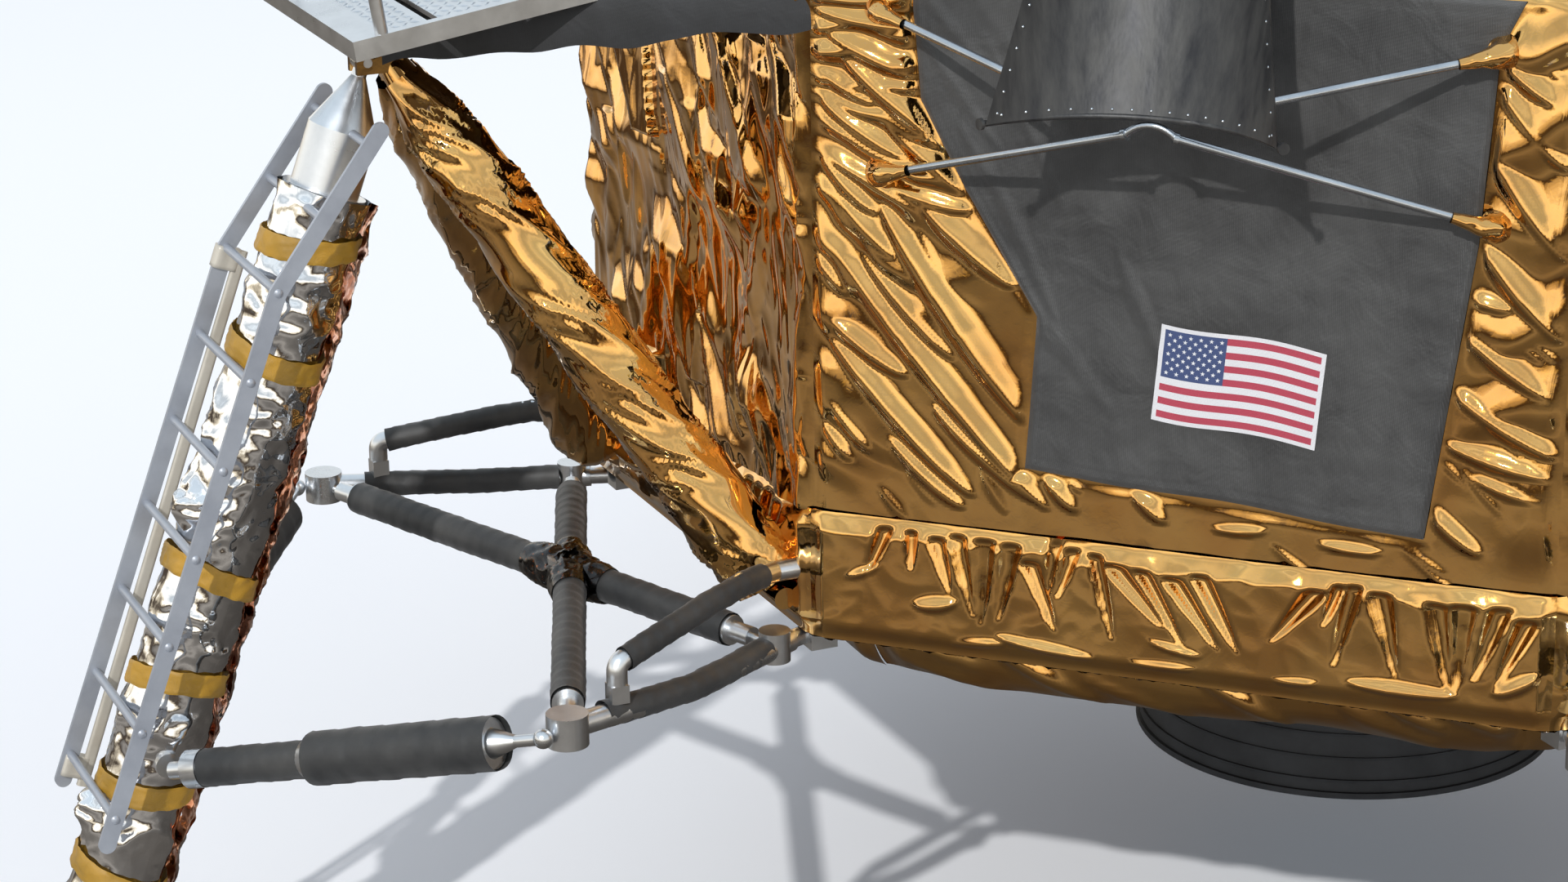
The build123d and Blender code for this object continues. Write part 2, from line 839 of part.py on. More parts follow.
# Hand rails of the porch
with BuildPart() as porch_rails:
    for side in mirrored():
        x = side * (porch_half - rail_tube)
        upright = porch_plane.z_dir * rail_height
        front = ahead(x, porch_front - rail_foot, porch_front_z + porch_rise * rail_foot)
        back_run = porch_front - porch_back - rail_foot
        back = ahead(x, porch_back + rail_foot, porch_front_z + porch_rise * back_run)
        bent_tube(
            (front, front + upright, back + upright, back),
            rail_bend,
            rail_tube,
        )
save(porch_rails, "porch_rails")

# Ladder: two flat rails with rungs between them
stub_chord = sqrt(strut_sleeve_radius**2 - (ladder_stub[1] - rung_radius) ** 2)
with BuildPart() as ladder:
    rungs = [
        (ladder_knee[0] + rung_step[0] * index, ladder_knee[1] + rung_step[1] * index)
        for index in range(rung_count)
    ]
    bottom = (rungs[-1][0] + rung_step[0] * (1 - ladder_foot_step), rungs[-1][1])
    for side in mirrored():
        inner_face = side * (ladder_half - rail_thickness / 2)
        with BuildSketch(Plane.YZ.offset(inner_face)) as rail:
            with BuildLine() as line:
                middles = [on_strut(*place) for place in (ladder_top, ladder_knee, bottom)]
                Polyline(*((middle.Y, middle.Z) for middle in middles))
                offset(amount=rail_width / 2, side=Side.BOTH)
            make_face()
        extrude(rail.sketch, amount=side * rail_thickness)
        for place, held in ((ladder_pin, strut_cone_radius + seat), (ladder_stub, stub_chord + seat)):
            rod(on_strut(*place, side * (ladder_half - 1)), on_strut(*place, side * held), rung_radius)
    for distance, front in rungs:
        rod(on_strut(distance, front, -ladder_half), on_strut(distance, front, ladder_half), rung_radius)
save(ladder, "ladder")


def on_corner(across, off, z):
    """A point by its place on a corner face that is drawn looking forward."""
    return Vector(across, -(corner_reach + off), z)


# Plume deflector: a trough that widens and leans out towards its lower edge
with BuildPart() as deflector:
    for z, half, off, depth in deflector_sections:
        with BuildSketch(Plane.XY.offset(z)):
            with BuildLine():
                ThreePointArc(
                    (-half, -(corner_reach + off)),
                    (0, -(corner_reach + off - depth)),
                    (half, -(corner_reach + off)),
                )
                Line(
                    (half, -(corner_reach + off)),
                    (half, -(corner_reach + off - deflector_thickness)),
                )
                ThreePointArc(
                    (half, -(corner_reach + off - deflector_thickness)),
                    (0, -(corner_reach + off - depth - deflector_thickness)),
                    (-half, -(corner_reach + off - deflector_thickness)),
                )
                Line(
                    (-half, -(corner_reach + off - deflector_thickness)),
                    (-half, -(corner_reach + off)),
                )
            make_face()
    loft(ruled=True)
    low_z, low_half, low_off, low_depth = deflector_sections[0]
    rod_off = low_off - deflector_thickness / 2
    with BuildLine() as lip:
        ThreePointArc(
            on_corner(-low_half - deflector_rod_past, rod_off, low_z),
            on_corner(0, rod_off - low_depth, low_z),
            on_corner(low_half + deflector_rod_past, rod_off, low_z),
        )
    with BuildSketch(Plane(origin=lip.line @ 0, z_dir=lip.line % 0)) as lip_section:
        Circle(deflector_rod)
    sweep(lip_section.sketch, path=lip.line)
    for end, way in ((lip.line @ 0, lip.line % 0), (lip.line @ 1, lip.line % 1)):
        rod(end - way * deflector_cap_length / 2, end + way * deflector_cap_length / 2, deflector_cap)
save_together(deflector, "plume_deflectors", corners)

# Space that a deflector takes up, with a seat's clearance behind it
with BuildPart() as deflector_space:
    for z, half, off, depth in deflector_sections:
        back = corner_reach + off - deflector_thickness - seat
        with BuildSketch(Plane.XY.offset(z)):
            with BuildLine():
                ThreePointArc((-half, -back), (0, -(back - depth)), (half, -back))
                Polyline((half, -back), (half, -past_all), (-half, -past_all), (-half, -back))
            make_face()
    loft(ruled=True)

# Tubes that hold a deflector off the body
with BuildPart() as deflector_struts:
    saddle_off = rod_off - low_depth

    def upper_end(side):
        """Where an upper tube meets the back of the trough."""
        return on_corner(
            side * deflector_upper_end[0],
            low_off - low_depth / 2,
            low_z + deflector_upper_end[1],
        )

    for side in mirrored():
        for anchor_z, end in (
            (deflector_anchor_z[0], upper_end(side)),
            (deflector_anchor_z[1], on_corner(side * saddle_half_width, saddle_off, low_z - saddle_drop)),
        ):
            anchor = on_corner(side * deflector_anchor_half, 0, anchor_z)
            boot = on_corner(side * deflector_anchor_half, boot_length, anchor_z)
            tapered_rod(anchor, boot, boot_radius, 1.3 * deflector_tube)
            rod(boot + Vector(0, boot_seat, 0), end, deflector_tube)
        way = (end - boot).normalized()
        rod(end - way * deflector_collar_half, end + way * deflector_collar_half, deflector_collar)
    add(deflector_space.part, mode=Mode.SUBTRACT)
    saddle_top = low_z - deflector_rod - seat - saddle_tube
    with BuildLine() as saddle_line:
        ThreePointArc(
            on_corner(-saddle_half_width, saddle_off, low_z - saddle_drop),
            on_corner(0, saddle_off, saddle_top),
            on_corner(saddle_half_width, saddle_off, low_z - saddle_drop),
        )
    with BuildSketch(Plane(origin=saddle_line.line @ 0, z_dir=saddle_line.line % 0)) as saddle_section:
        Circle(saddle_tube)
    sweep(saddle_section.sketch, path=saddle_line.line)
save_together(deflector_struts, "deflector_struts", corners)

# Blankets on the corner faces
with BuildPart() as blanket:
    with BuildSketch(Plane.XZ.offset(corner_reach)):
        Polygon(*blanket_points, align=None)
        for z in deflector_anchor_z:
            with Locations((-deflector_anchor_half, z), (deflector_anchor_half, z)):
                Circle(boot_radius + 2, mode=Mode.SUBTRACT)
    extrude(amount=blanket_thickness)
save_together(blanket, "face_blankets", corners)

# Flag patch on the fore port blanket
with BuildPart() as flag_patch:
    with BuildSketch(Plane.XZ.offset(corner_reach + blanket_thickness)):
        with Locations(Location((flag_middle[0], flag_middle[1], 0), (0, 0, flag_tilt))):
            Rectangle(flag_width, flag_height)
    extrude(amount=flag_thickness)
save_together(flag_patch, "flag_patch", corners[:1])

def roof_window_plane(inset):
    """Plane of the window over the port station, moved in by inset from the drum's surface."""
    turn = radians(roof_window[0])
    out = Vector(sin(turn), 0, cos(turn))
    return Plane(
        origin=Vector(0, -roof_window[1], cabin_z) + out * (cabin_radius - inset),
        x_dir=(0, -1, 0),
        z_dir=out,
    )


def clear_of_drum():
    """Cut away what would reach into the cabin's drum or its seat's clearance."""
    front = (0, -cabin_front - cabin_wall, cabin_z)
    back = (0, -cabin_back + cabin_wall, cabin_z)
    rod(front, back, cabin_radius + seat, mode=Mode.SUBTRACT)


# Posts that carry the ascent stage, and the ascent engine between the stages
with BuildPart() as interstage_posts:
    for side in mirrored():
        for y, top in ((-post_front, cabin_z), (post_back, bay_bottom)):
            rod((side * post_half, y, body_top), (side * post_half, y, top), post_radius)
    clear_of_drum()
save(interstage_posts, "interstage_posts")

with BuildPart() as ascent_engine:
    tapered_rod((0, 0, body_top + seat), (0, 0, middle_bottom), engine_skirt_radius, engine_neck_radius)
save(ascent_engine, "ascent_engine")


def facet_plane(side, inset):
    """Plane of a canted window facet of the cabin, moved in by inset."""
    cant = radians(window_cant)
    rake = radians(window_rake)
    normal = Vector(side * sin(cant), -cos(cant), -sin(rake)).normalized()
    corner = Vector(side * facet_edge, -cabin_front, facet_top_z)
    return Plane(origin=corner - normal * inset, x_dir=(cos(cant), side * sin(cant), 0), z_dir=normal)


def cabin_form(inset):
    """The cabin: a drum with canted facets, a centre panel and a square nose, moved in by inset."""
    front = cabin_front - inset
    back = cabin_back + inset
    radius = cabin_radius - inset
    rod((0, -front, cabin_z), (0, -back, cabin_z), radius)
    for side in mirrored():
        with BuildSketch(facet_plane(side, inset)) as facet:
            Rectangle(6 * cabin_radius, 6 * cabin_radius)
        extrude(facet.sketch, amount=2 * cabin_radius, mode=Mode.SUBTRACT)
    panel_half = facet_edge - inset
    block((-panel_half, panel_half), (-front, -back), (cabin_z, facet_top_z - inset))
    nose = nose_half - inset
    block((-nose, nose), (-nose_reach + inset, -back), (nose_bottom + inset, nose_top - inset))


def dish(hinge, radius, depth):
    """A dish that faces forward from its upright hinge, with its hub, pin and feed."""
    hub_z = yoke_arm_z - hatch_clear
    pin_z = yoke_arm_z + yoke_arm
    vertex = hinge.Y - dish_offset
    rod(hinge - Vector(0, 0, pin_z), hinge + Vector(0, 0, pin_z), hinge_pin)
    block(
        (hinge.X - dish_hub, hinge.X + dish_hub),
        (vertex - dish_wall - 1, hinge.Y + dish_hub),
        (hinge.Z - hub_z, hinge.Z + hub_z),
    )
    with BuildSketch(Plane(origin=(hinge.X, vertex, hinge.Z), x_dir=(1, 0, 0), z_dir=(0, 0, 1))) as section:
        with BuildLine():
            ThreePointArc((0, 0), (radius / 2, -depth / 4), (radius, -depth))
            Line((radius, -depth), (radius, -depth - dish_wall))
            ThreePointArc(
                (radius, -depth - dish_wall), (radius / 2, -depth / 4 - dish_wall), (0, -dish_wall)
            )
            Line((0, -dish_wall), (0, 0))
        make_face()
    revolve(section.sketch, axis=Axis((hinge.X, vertex, hinge.Z), (0, -1, 0)))
    rod((hinge.X, vertex, hinge.Z), (hinge.X, vertex - feed_reach, hinge.Z), feed_radius)


# Crew cabin shell, with its hatch opening, windows and the way through to the middle section
hatch_half = hatch_side / 2
with BuildPart() as cabin_core:
    cabin_form(cabin_wall)
    block((-past_all, past_all), (-past_all, 0), (0, cabin_floor), mode=Mode.SUBTRACT)
with BuildPart() as cabin:
    cabin_form(0)
    add(cabin_core.part, mode=Mode.SUBTRACT)
    with BuildSketch(Plane.XZ.offset(cabin_back)) as passage:
        with Locations((0, passage_z)):
            RectangleRounded(2 * passage_half, passage_height, passage_corner)
    extrude(passage.sketch, amount=cabin_wall + 20, mode=Mode.SUBTRACT)
    with BuildSketch(Plane.XZ.offset(nose_reach)) as opening:
        with Locations((0, hatch_middle_z)):
            RectangleRounded(hatch_side, hatch_side, hatch_corner)
    extrude(opening.sketch, amount=-cabin_wall - 20, mode=Mode.SUBTRACT)
    for side in mirrored():
        with BuildSketch(facet_plane(side, 0)) as window:
            Polygon(*window_points(side, 0), align=None)
            fillet(window.vertices(), radius=window_corner)
        extrude(window.sketch, amount=-cabin_wall - 20, mode=Mode.SUBTRACT)
    with BuildSketch(roof_window_plane(-cabin_wall)) as roof_opening:
        RectangleRounded(roof_window[2], roof_window[3], roof_window_corner)
    extrude(roof_opening.sketch, amount=-3 * cabin_wall, mode=Mode.SUBTRACT)
    for z in (hatch_middle_z - hatch_half + 120, hatch_middle_z + hatch_half - 120):
        block(
            (-hatch_hinge_x - hinge_boss, -hatch_hinge_x + hinge_boss),
            (-nose_reach + cabin_wall - 1, -hatch_hinge_y + hinge_boss),
            (z - hinge_boss, z + hinge_boss),
        )
    rod(
        (-hatch_hinge_x, -hatch_hinge_y, hatch_middle_z - hatch_half),
        (-hatch_hinge_x, -hatch_hinge_y, hatch_middle_z + hatch_half),
        hinge_pin + pin_play,
        mode=Mode.SUBTRACT,
    )
save(cabin, "cabin")

# Window panes, each set in its opening
with BuildPart() as window_panes:
    for side in mirrored():
        with BuildSketch(facet_plane(side, pane_depth)) as pane:
            Polygon(*window_points(side, seat), align=None)
            fillet(pane.vertices(), radius=window_corner)
        extrude(pane.sketch, amount=-pane_thickness)
    with BuildSketch(roof_window_plane(pane_depth)) as roof_pane:
        RectangleRounded(
            roof_window[2] - 2 * seat,
            roof_window[3] - 2 * seat,
            roof_window_corner - seat,
        )
    extrude(roof_pane.sketch, amount=-pane_thickness)
save(window_panes, "window_panes")

# Front hatch: a plate inside the opening, with a raised panel that fills it
with BuildPart() as front_hatch:
    plate_face = -nose_reach + cabin_wall + hatch_clear
    with BuildSketch(Plane.XZ.offset(-plate_face)) as plate:
        with Locations((0, hatch_middle_z)):
            RectangleRounded(hatch_side + 2 * hatch_lap, hatch_side + 2 * hatch_lap, hatch_corner)
    extrude(plate.sketch, amount=-hatch_thickness)
    with BuildSketch(Plane.XZ.offset(-plate_face)) as panel:
        with Locations((0, hatch_middle_z)):
            panel_side = hatch_side - 2 * hatch_play
            RectangleRounded(panel_side, panel_side, hatch_corner - hatch_play)
    extrude(panel.sketch, amount=cabin_wall)
    strap = hatch_half - 120 - hinge_boss - hatch_clear
    block(
        (-hatch_hinge_x - hinge_pin, -hatch_half + 20),
        (-hatch_hinge_y - hinge_pin, -hatch_hinge_y + hinge_pin),
        (hatch_middle_z - strap, hatch_middle_z + strap),
    )
    rod(
        (-hatch_hinge_x, -hatch_hinge_y, hatch_middle_z - strap - 2 * hinge_boss),
        (-hatch_hinge_x, -hatch_hinge_y, hatch_middle_z + strap + 2 * hinge_boss),
        hinge_pin,
    )
save(front_hatch, "front_hatch")

# Middle section, with the way up into the tunnel and the lugs of its hatch
middle_height = middle_top - middle_bottom
middle_z = (middle_top + middle_bottom) / 2
with BuildPart() as middle_section:
    with BuildSketch(Plane.XZ.offset(cabin_back)) as outline:
        with Locations((0, middle_z)):
            RectangleRounded(2 * middle_half, middle_height, middle_corner)
    extrude(outline.sketch, amount=-(cabin_back + middle_back))
    with BuildSketch(Plane.XZ.offset(cabin_back)) as room:
        with Locations((0, middle_z)):
            RectangleRounded(
                2 * (middle_half - middle_wall),
                middle_height - 2 * middle_wall,
                middle_corner - middle_wall,
            )
    extrude(room.sketch, amount=-(cabin_back + middle_back - middle_wall), mode=Mode.SUBTRACT)
    rod((0, 0, middle_top - 2 * middle_wall), (0, 0, middle_top + 1), tunnel_radius, mode=Mode.SUBTRACT)
    ceiling = middle_top - middle_wall
    for side in mirrored():
        block(
            sorted((side * top_hinge_inner, side * (top_hinge_inner + 2 * hinge_boss))),
            (top_hinge_y - hinge_boss, top_hinge_y + hinge_boss),
            (top_hinge_z - hinge_boss, ceiling + 1),
        )
    rod(
        (-top_hinge_inner - 3 * hinge_boss, top_hinge_y, top_hinge_z),
        (top_hinge_inner + 3 * hinge_boss, top_hinge_y, top_hinge_z),
        hinge_pin + pin_play,
        mode=Mode.SUBTRACT,
    )
save(middle_section, "middle_section")

# Tunnel on the middle section's roof
with BuildPart() as docking_tunnel:
    with BuildSketch(Plane.XY.offset(middle_top)) as tube:
        Circle(tunnel_radius + tunnel_wall)
        Circle(tunnel_radius, mode=Mode.SUBTRACT)
    extrude(tube.sketch, amount=tunnel_top - middle_top)
save(docking_tunnel, "docking_tunnel")

# Top hatch under the tunnel
with BuildPart() as top_hatch:
    hatch_top = ceiling - hatch_clear
    rod((0, 0, hatch_top - tunnel_hatch_thickness), (0, 0, hatch_top), tunnel_radius + hatch_lap)
    inner = top_hinge_inner - hatch_clear
    block(
        (-inner, inner),
        (tunnel_radius * 0.7, top_hinge_y + hinge_pin),
        (top_hinge_z - hinge_pin, top_hinge_z + hinge_pin),
    )
    rod(
        (-top_hinge_inner - 1.5 * hinge_boss, top_hinge_y, top_hinge_z),
        (top_hinge_inner + 1.5 * hinge_boss, top_hinge_y, top_hinge_z),
        hinge_pin,
    )
save(top_hatch, "top_hatch")

# Docking ring on the tunnel
with BuildPart() as docking_ring:
    with BuildSketch(Plane.XY.offset(tunnel_top)) as ring:
        Circle(docking_flange)
        Circle(tunnel_radius, mode=Mode.SUBTRACT)
    extrude(ring.sketch, amount=docking_flange_height)
save(docking_ring, "docking_ring")

# Aft equipment bay and its neck
with BuildPart() as aft_bay:
    block((-bay_half, bay_half), (bay_front, bay_back), (bay_bottom, bay_top))
    chamfer(aft_bay.edges().filter_by(Axis.X).group_by(Axis.Y)[-1], length=bay_chamfer)
    block(
        (-bay_neck_half, bay_neck_half),
        (middle_back, bay_front),
        (bay_bottom + bay_neck_inset, bay_top - bay_neck_inset),
    )
save(aft_bay, "aft_bay")

# Propellant tank housings, eight sided, at either side
for side_name, sign, reach, radius, middle in tank_table:
    with BuildPart() as tank_housing:
        with BuildSketch(Plane.XY.offset(middle - tank_half_height)):
            with Locations((sign * (reach - radius), tank_middle_y)):
                RegularPolygon(radius, 8, major_radius=False)
        extrude(amount=2 * tank_half_height)
        top_and_bottom = tank_housing.faces().filter_by(Axis.Z).edges()
        chamfer(top_and_bottom, length=tank_chamfer)
        block((-middle_half, middle_half), (-past_all, past_all), (0, past_all), mode=Mode.SUBTRACT)
    save(tank_housing, f"tank_housing_{side_name}")

# Thruster cluster: a block with four open cones
with BuildPart() as cluster:
    middle = Vector(cluster_offset, -cluster_offset, cluster_z)
    with Locations(middle):
        Box(2 * cluster_half, 2 * cluster_half, 2 * cluster_half)
    for way in (Vector(1, 0, 0), Vector(0, -1, 0), Vector(0, 0, 1), Vector(0, 0, -1)):
        root = middle + way * (cluster_half - 2)
        tip = middle + way * (cluster_half + thruster_length)
        tapered_rod(root, tip, thruster_throat_radius + thruster_wall, thruster_exit_radius)
        tapered_rod(
            root + way * 20,
            tip + way * 0.01,
            thruster_throat_radius,
            thruster_exit_radius - thruster_wall,
            mode=Mode.SUBTRACT,
        )
save_together(cluster, "thruster_clusters", legs)

# Booms that carry the clusters from the cabin and from the aft bay
with BuildPart() as thruster_booms:
    inner = cluster_offset - cluster_half - seat
    for side in mirrored():
        for z in (cabin_z - boom_spread, cabin_z + boom_spread):
            rod(
                (side * (cabin_radius - 40), -boom_shoe_y, z),
                (side * inner, -cluster_offset + cluster_half / 2, cluster_z + (z - cabin_z) / 2),
                boom_radius,
            )
            rod(
                (side * (bay_half + boom_radius), boom_shoe_y, z),
                (side * inner, cluster_offset - cluster_half / 2, cluster_z + (z - cabin_z) / 2),
                boom_radius,
            )
        block(
            sorted((side * (cabin_radius - 60), side * (cabin_radius + 40))),
            (-boom_shoe_y - 60, -boom_shoe_y + 60),
            (cabin_z - boom_spread - 60, cabin_z + boom_spread + 60),
        )
        block(
            sorted((side * bay_half, side * (bay_half + 50))),
            (boom_shoe_y - 60, boom_shoe_y + 60),
            (cabin_z - boom_spread - 60, cabin_z + boom_spread + 60),
        )
    clear_of_drum()
    for side in mirrored():
        block(
            sorted((side * inner, side * (inner + cluster_half))),
            (-past_all, past_all),
            (0, past_all),
            mode=Mode.SUBTRACT,
        )
save(thruster_booms, "thruster_booms")

# Radar mast: a post behind the shaft, and a fork that reaches forward to it
with BuildPart() as radar_mast:
    rod((0, -radar_mast_y, cabin_z), (0, -radar_mast_y, radar_z - 2 * fork_arm), radar_mast_radius)
    block(
        (-fork_half - fork_arm, fork_half + fork_arm),
        (-radar_mast_y - radar_mast_radius, -radar_mast_y + radar_mast_radius),
        (radar_z - 2.5 * fork_arm, radar_z + fork_arm),
    )
    for side in mirrored():
        block(
            sorted((side * fork_half, side * (fork_half + fork_arm))),
            (-radar_y - 1.4 * fork_arm, -radar_mast_y),
            (radar_z - fork_arm, radar_z + fork_arm),
        )
    rod(
        (-fork_half - 2 * fork_arm, -radar_y, radar_z),
        (fork_half + 2 * fork_arm, -radar_y, radar_z),
        hinge_pin + pin_play,
        mode=Mode.SUBTRACT,
    )
    clear_of_drum()
save(radar_mast, "radar_mast")

# Radar shaft with the clevis that the dish turns in
with BuildPart() as radar_yoke:
    rod((-fork_half - fork_arm, -radar_y, radar_z), (fork_half + fork_arm, -radar_y, radar_z), hinge_pin)
    rod(
        (-fork_half + hatch_clear, -radar_y, radar_z),
        (fork_half - hatch_clear, -radar_y, radar_z),
        1.8 * hinge_pin,
    )
    block(
        (-yoke_half, yoke_half),
        (-radar_y - yoke_back, -radar_y),
        (radar_z - yoke_arm_z - yoke_arm, radar_z + yoke_arm_z + yoke_arm),
    )
    for side in mirrored():
        block(
            (-yoke_half, yoke_half),
            (-radar_y - dish_pivot - yoke_half, -radar_y - 1),
            sorted((radar_z + side * yoke_arm_z, radar_z + side * (yoke_arm_z + yoke_arm))),
        )
    rod(
        (0, -radar_y - dish_pivot, radar_z - yoke_arm_z - 2 * yoke_arm),
        (0, -radar_y - dish_pivot, radar_z + yoke_arm_z + 2 * yoke_arm),
        hinge_pin + pin_play,
        mode=Mode.SUBTRACT,
    )
save(radar_yoke, "radar_yoke")

# Radar dish on its upright pin
with BuildPart() as radar_dish:
    dish(Vector(0, -radar_y - dish_pivot, radar_z), radar_radius, radar_depth)
save(radar_dish, "radar_dish")

# Mast of the steerable antenna, on the starboard tank housing
mast_foot = tank_table[1][4] + tank_half_height
with BuildPart() as antenna_mast:
    rod((-mast_x, mast_y, mast_foot), (-mast_x, mast_y, antenna_z), mast_radius)
    block(
        (-mast_x - mast_head, -mast_x + mast_head),
        (mast_y - mast_head, mast_y + mast_head),
        (antenna_z - mast_head, antenna_z + mast_head),
    )
    rod(
        (-mast_x - 2 * mast_head, mast_y, antenna_z),
        (-mast_x + 2 * mast_head, mast_y, antenna_z),
        crank_pin + pin_play,
        mode=Mode.SUBTRACT,
    )
save(antenna_mast, "antenna_mast")

# Crank that reaches round behind the steerable dish
with BuildPart() as antenna_yoke:
    rod((-mast_x + mast_head, mast_y, antenna_z), (-mast_x - mast_head - 30, mast_y, antenna_z), crank_pin)
    start = Vector(-mast_x - mast_head - 30, mast_y, antenna_z)
    bent_tube(
        (
            start + Vector(0, -20, 0),
            start + Vector(0, crank_reach, 0),
            Vector(-antenna_pivot_x, mast_y + crank_reach, antenna_z),
            Vector(-antenna_pivot_x, mast_y + dish_gap + yoke_arm - 2, antenna_z),
        ),
        rail_bend,
        crank_tube,
    )
    block(
        (-antenna_pivot_x - yoke_half, -antenna_pivot_x + yoke_half),
        (mast_y + dish_gap, mast_y + dish_gap + yoke_arm),
        (antenna_z - yoke_arm_z - yoke_arm, antenna_z + yoke_arm_z + yoke_arm),
    )
    for side in mirrored():
        block(
            (-antenna_pivot_x - yoke_half, -antenna_pivot_x + yoke_half),
            (mast_y - yoke_half, mast_y + dish_gap + 1),
            sorted((antenna_z + side * yoke_arm_z, antenna_z + side * (yoke_arm_z + yoke_arm))),
        )
    rod(
        (-antenna_pivot_x, mast_y, antenna_z - yoke_arm_z - 2 * yoke_arm),
        (-antenna_pivot_x, mast_y, antenna_z + yoke_arm_z + 2 * yoke_arm),
        hinge_pin + pin_play,
        mode=Mode.SUBTRACT,
    )
save(antenna_yoke, "antenna_yoke")

# Steerable antenna dish
with BuildPart() as antenna_dish:
    dish(Vector(-antenna_pivot_x, mast_y, antenna_z), antenna_radius, antenna_depth)
save(antenna_dish, "antenna_dish")

# Fixed whip antennas on the aft bay
with BuildPart() as fixed_antennas:
    for side in mirrored():
        foot = Vector(side * whip_x, whip_y, bay_top)
        rod(foot, foot + Vector(0, 0, 60), 3 * whip_radius)
        top = Vector(side * whip_x, whip_y, whip_top)
        tapered_rod(foot + Vector(0, 0, 50), top, whip_radius, whip_radius / 2)
save(fixed_antennas, "fixed_antennas")
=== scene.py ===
"""Lunar lander: foil, cloth and tape over the CAD frame, with its finishes, light and camera."""
import json
from collections import namedtuple
from math import atan2, cos, pi, radians, sin, sqrt, tan

import bpy
import numpy as np
from mathutils import Matrix, Vector


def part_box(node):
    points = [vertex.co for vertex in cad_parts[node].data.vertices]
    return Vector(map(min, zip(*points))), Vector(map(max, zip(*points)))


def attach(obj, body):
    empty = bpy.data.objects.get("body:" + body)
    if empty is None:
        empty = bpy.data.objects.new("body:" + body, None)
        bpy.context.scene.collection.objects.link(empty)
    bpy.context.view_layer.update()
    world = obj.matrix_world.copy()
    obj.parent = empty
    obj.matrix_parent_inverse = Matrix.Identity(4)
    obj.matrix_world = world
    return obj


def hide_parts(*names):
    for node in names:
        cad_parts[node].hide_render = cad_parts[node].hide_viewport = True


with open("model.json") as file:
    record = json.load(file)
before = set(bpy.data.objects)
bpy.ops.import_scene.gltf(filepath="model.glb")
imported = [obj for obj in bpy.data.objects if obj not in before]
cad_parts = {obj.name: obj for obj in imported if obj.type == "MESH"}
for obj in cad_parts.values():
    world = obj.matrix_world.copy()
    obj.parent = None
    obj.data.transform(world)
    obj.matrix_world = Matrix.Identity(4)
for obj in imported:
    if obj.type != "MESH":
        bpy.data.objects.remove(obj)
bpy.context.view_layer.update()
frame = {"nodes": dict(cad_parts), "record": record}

# Metres, in the CAD's frame: z = 0 is the ground, forward is -Y and port is +X.
body_low, body_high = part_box("descent_body")
band_proud = 0.012
band_height = 0.341
leg_reach = body_high.y - band_proud
leg_half = 0.768
corner_reach = (leg_reach + leg_half) / sqrt(2)
corner_half = (leg_reach - leg_half) / sqrt(2)
floor_z, deck_z = body_low.z, body_high.z
seam_z = floor_z + band_height
corner_round = 0.026
foil_stand = 0.008
foil_under_blanket = 0.0075
blanket_stand = 0.021

# A side of the body: turn about the axis, reach from it, half width, and the length round before it
Side = namedtuple("Side", "index name turn reach half start")
sides = []
for index, name in enumerate((
    "forward", "fore_port", "port", "aft_port", "aft", "aft_starboard", "starboard", "fore_starboard",
)):
    reach, half = (corner_reach, corner_half) if index % 2 else (leg_reach, leg_half)
    sides.append(Side(index, name, 45 * index, reach, half, sum(2 * side.half for side in sides)))
leg_sides, corner_sides = sides[0::2], sides[1::2]
shown_sides = ("forward", "fore_port")
hands = (("starboard_hand", -1), ("port_hand", 1))


# Shapes

def spread(low, high, step):
    """Evenly spaced values from low to high, no further apart than step."""
    return np.linspace(low, high, int(abs(high - low) / step) + 2)


def hashed(ix, iy, seed):
    """A number from 0 to 1 for each whole-number pair, from a mixed integer product."""
    n = (ix * 374761393 + iy * 668265263 + seed * 1442695041).astype(np.int64)
    n = (n ^ (n >> 13)) * 1274126177
    n = n ^ (n >> 16)
    return (n & 0xFFFF) / 65535.0


def noise(x, y, seed):
    """Gradient noise of two coordinates, about -1 to 1: corner slopes blended by 6t^5-15t^4+10t^3."""
    ix, iy = np.floor(x).astype(np.int64), np.floor(y).astype(np.int64)
    fx, fy = x - ix, y - iy
    wx, wy = (t**3 * (t * (6 * t - 15) + 10) for t in (fx, fy))
    total = 0
    for cx, cy in ((0, 0), (1, 0), (0, 1), (1, 1)):
        weight = (wx if cx else 1 - wx) * (wy if cy else 1 - wy)
        angle = hashed(ix + cx, iy + cy, seed) * 2 * pi
        total = total + weight * (np.cos(angle) * (fx - cx) + np.sin(angle) * (fy - cy))
    return total * 1.5


def crinkle(x, y, size, seed, layers=3, sharp=1.0):
    """Crumpled film: the folded noise 1 - |n| at nearly halving sizes, each bent by the one before."""
    total, bend_x, bend_y = 0, 0, 0
    for layer in range(layers):
        scale = size / 1.9**layer
        fold = noise(x / scale + bend_x, y / scale + bend_y, seed + 7 * layer)
        total = total + np.clip(1 - np.abs(fold), 0, 1) ** sharp / 1.75**layer
        bend_x, bend_y = bend_x + 0.5 * fold, bend_y - 0.4 * fold
    return total


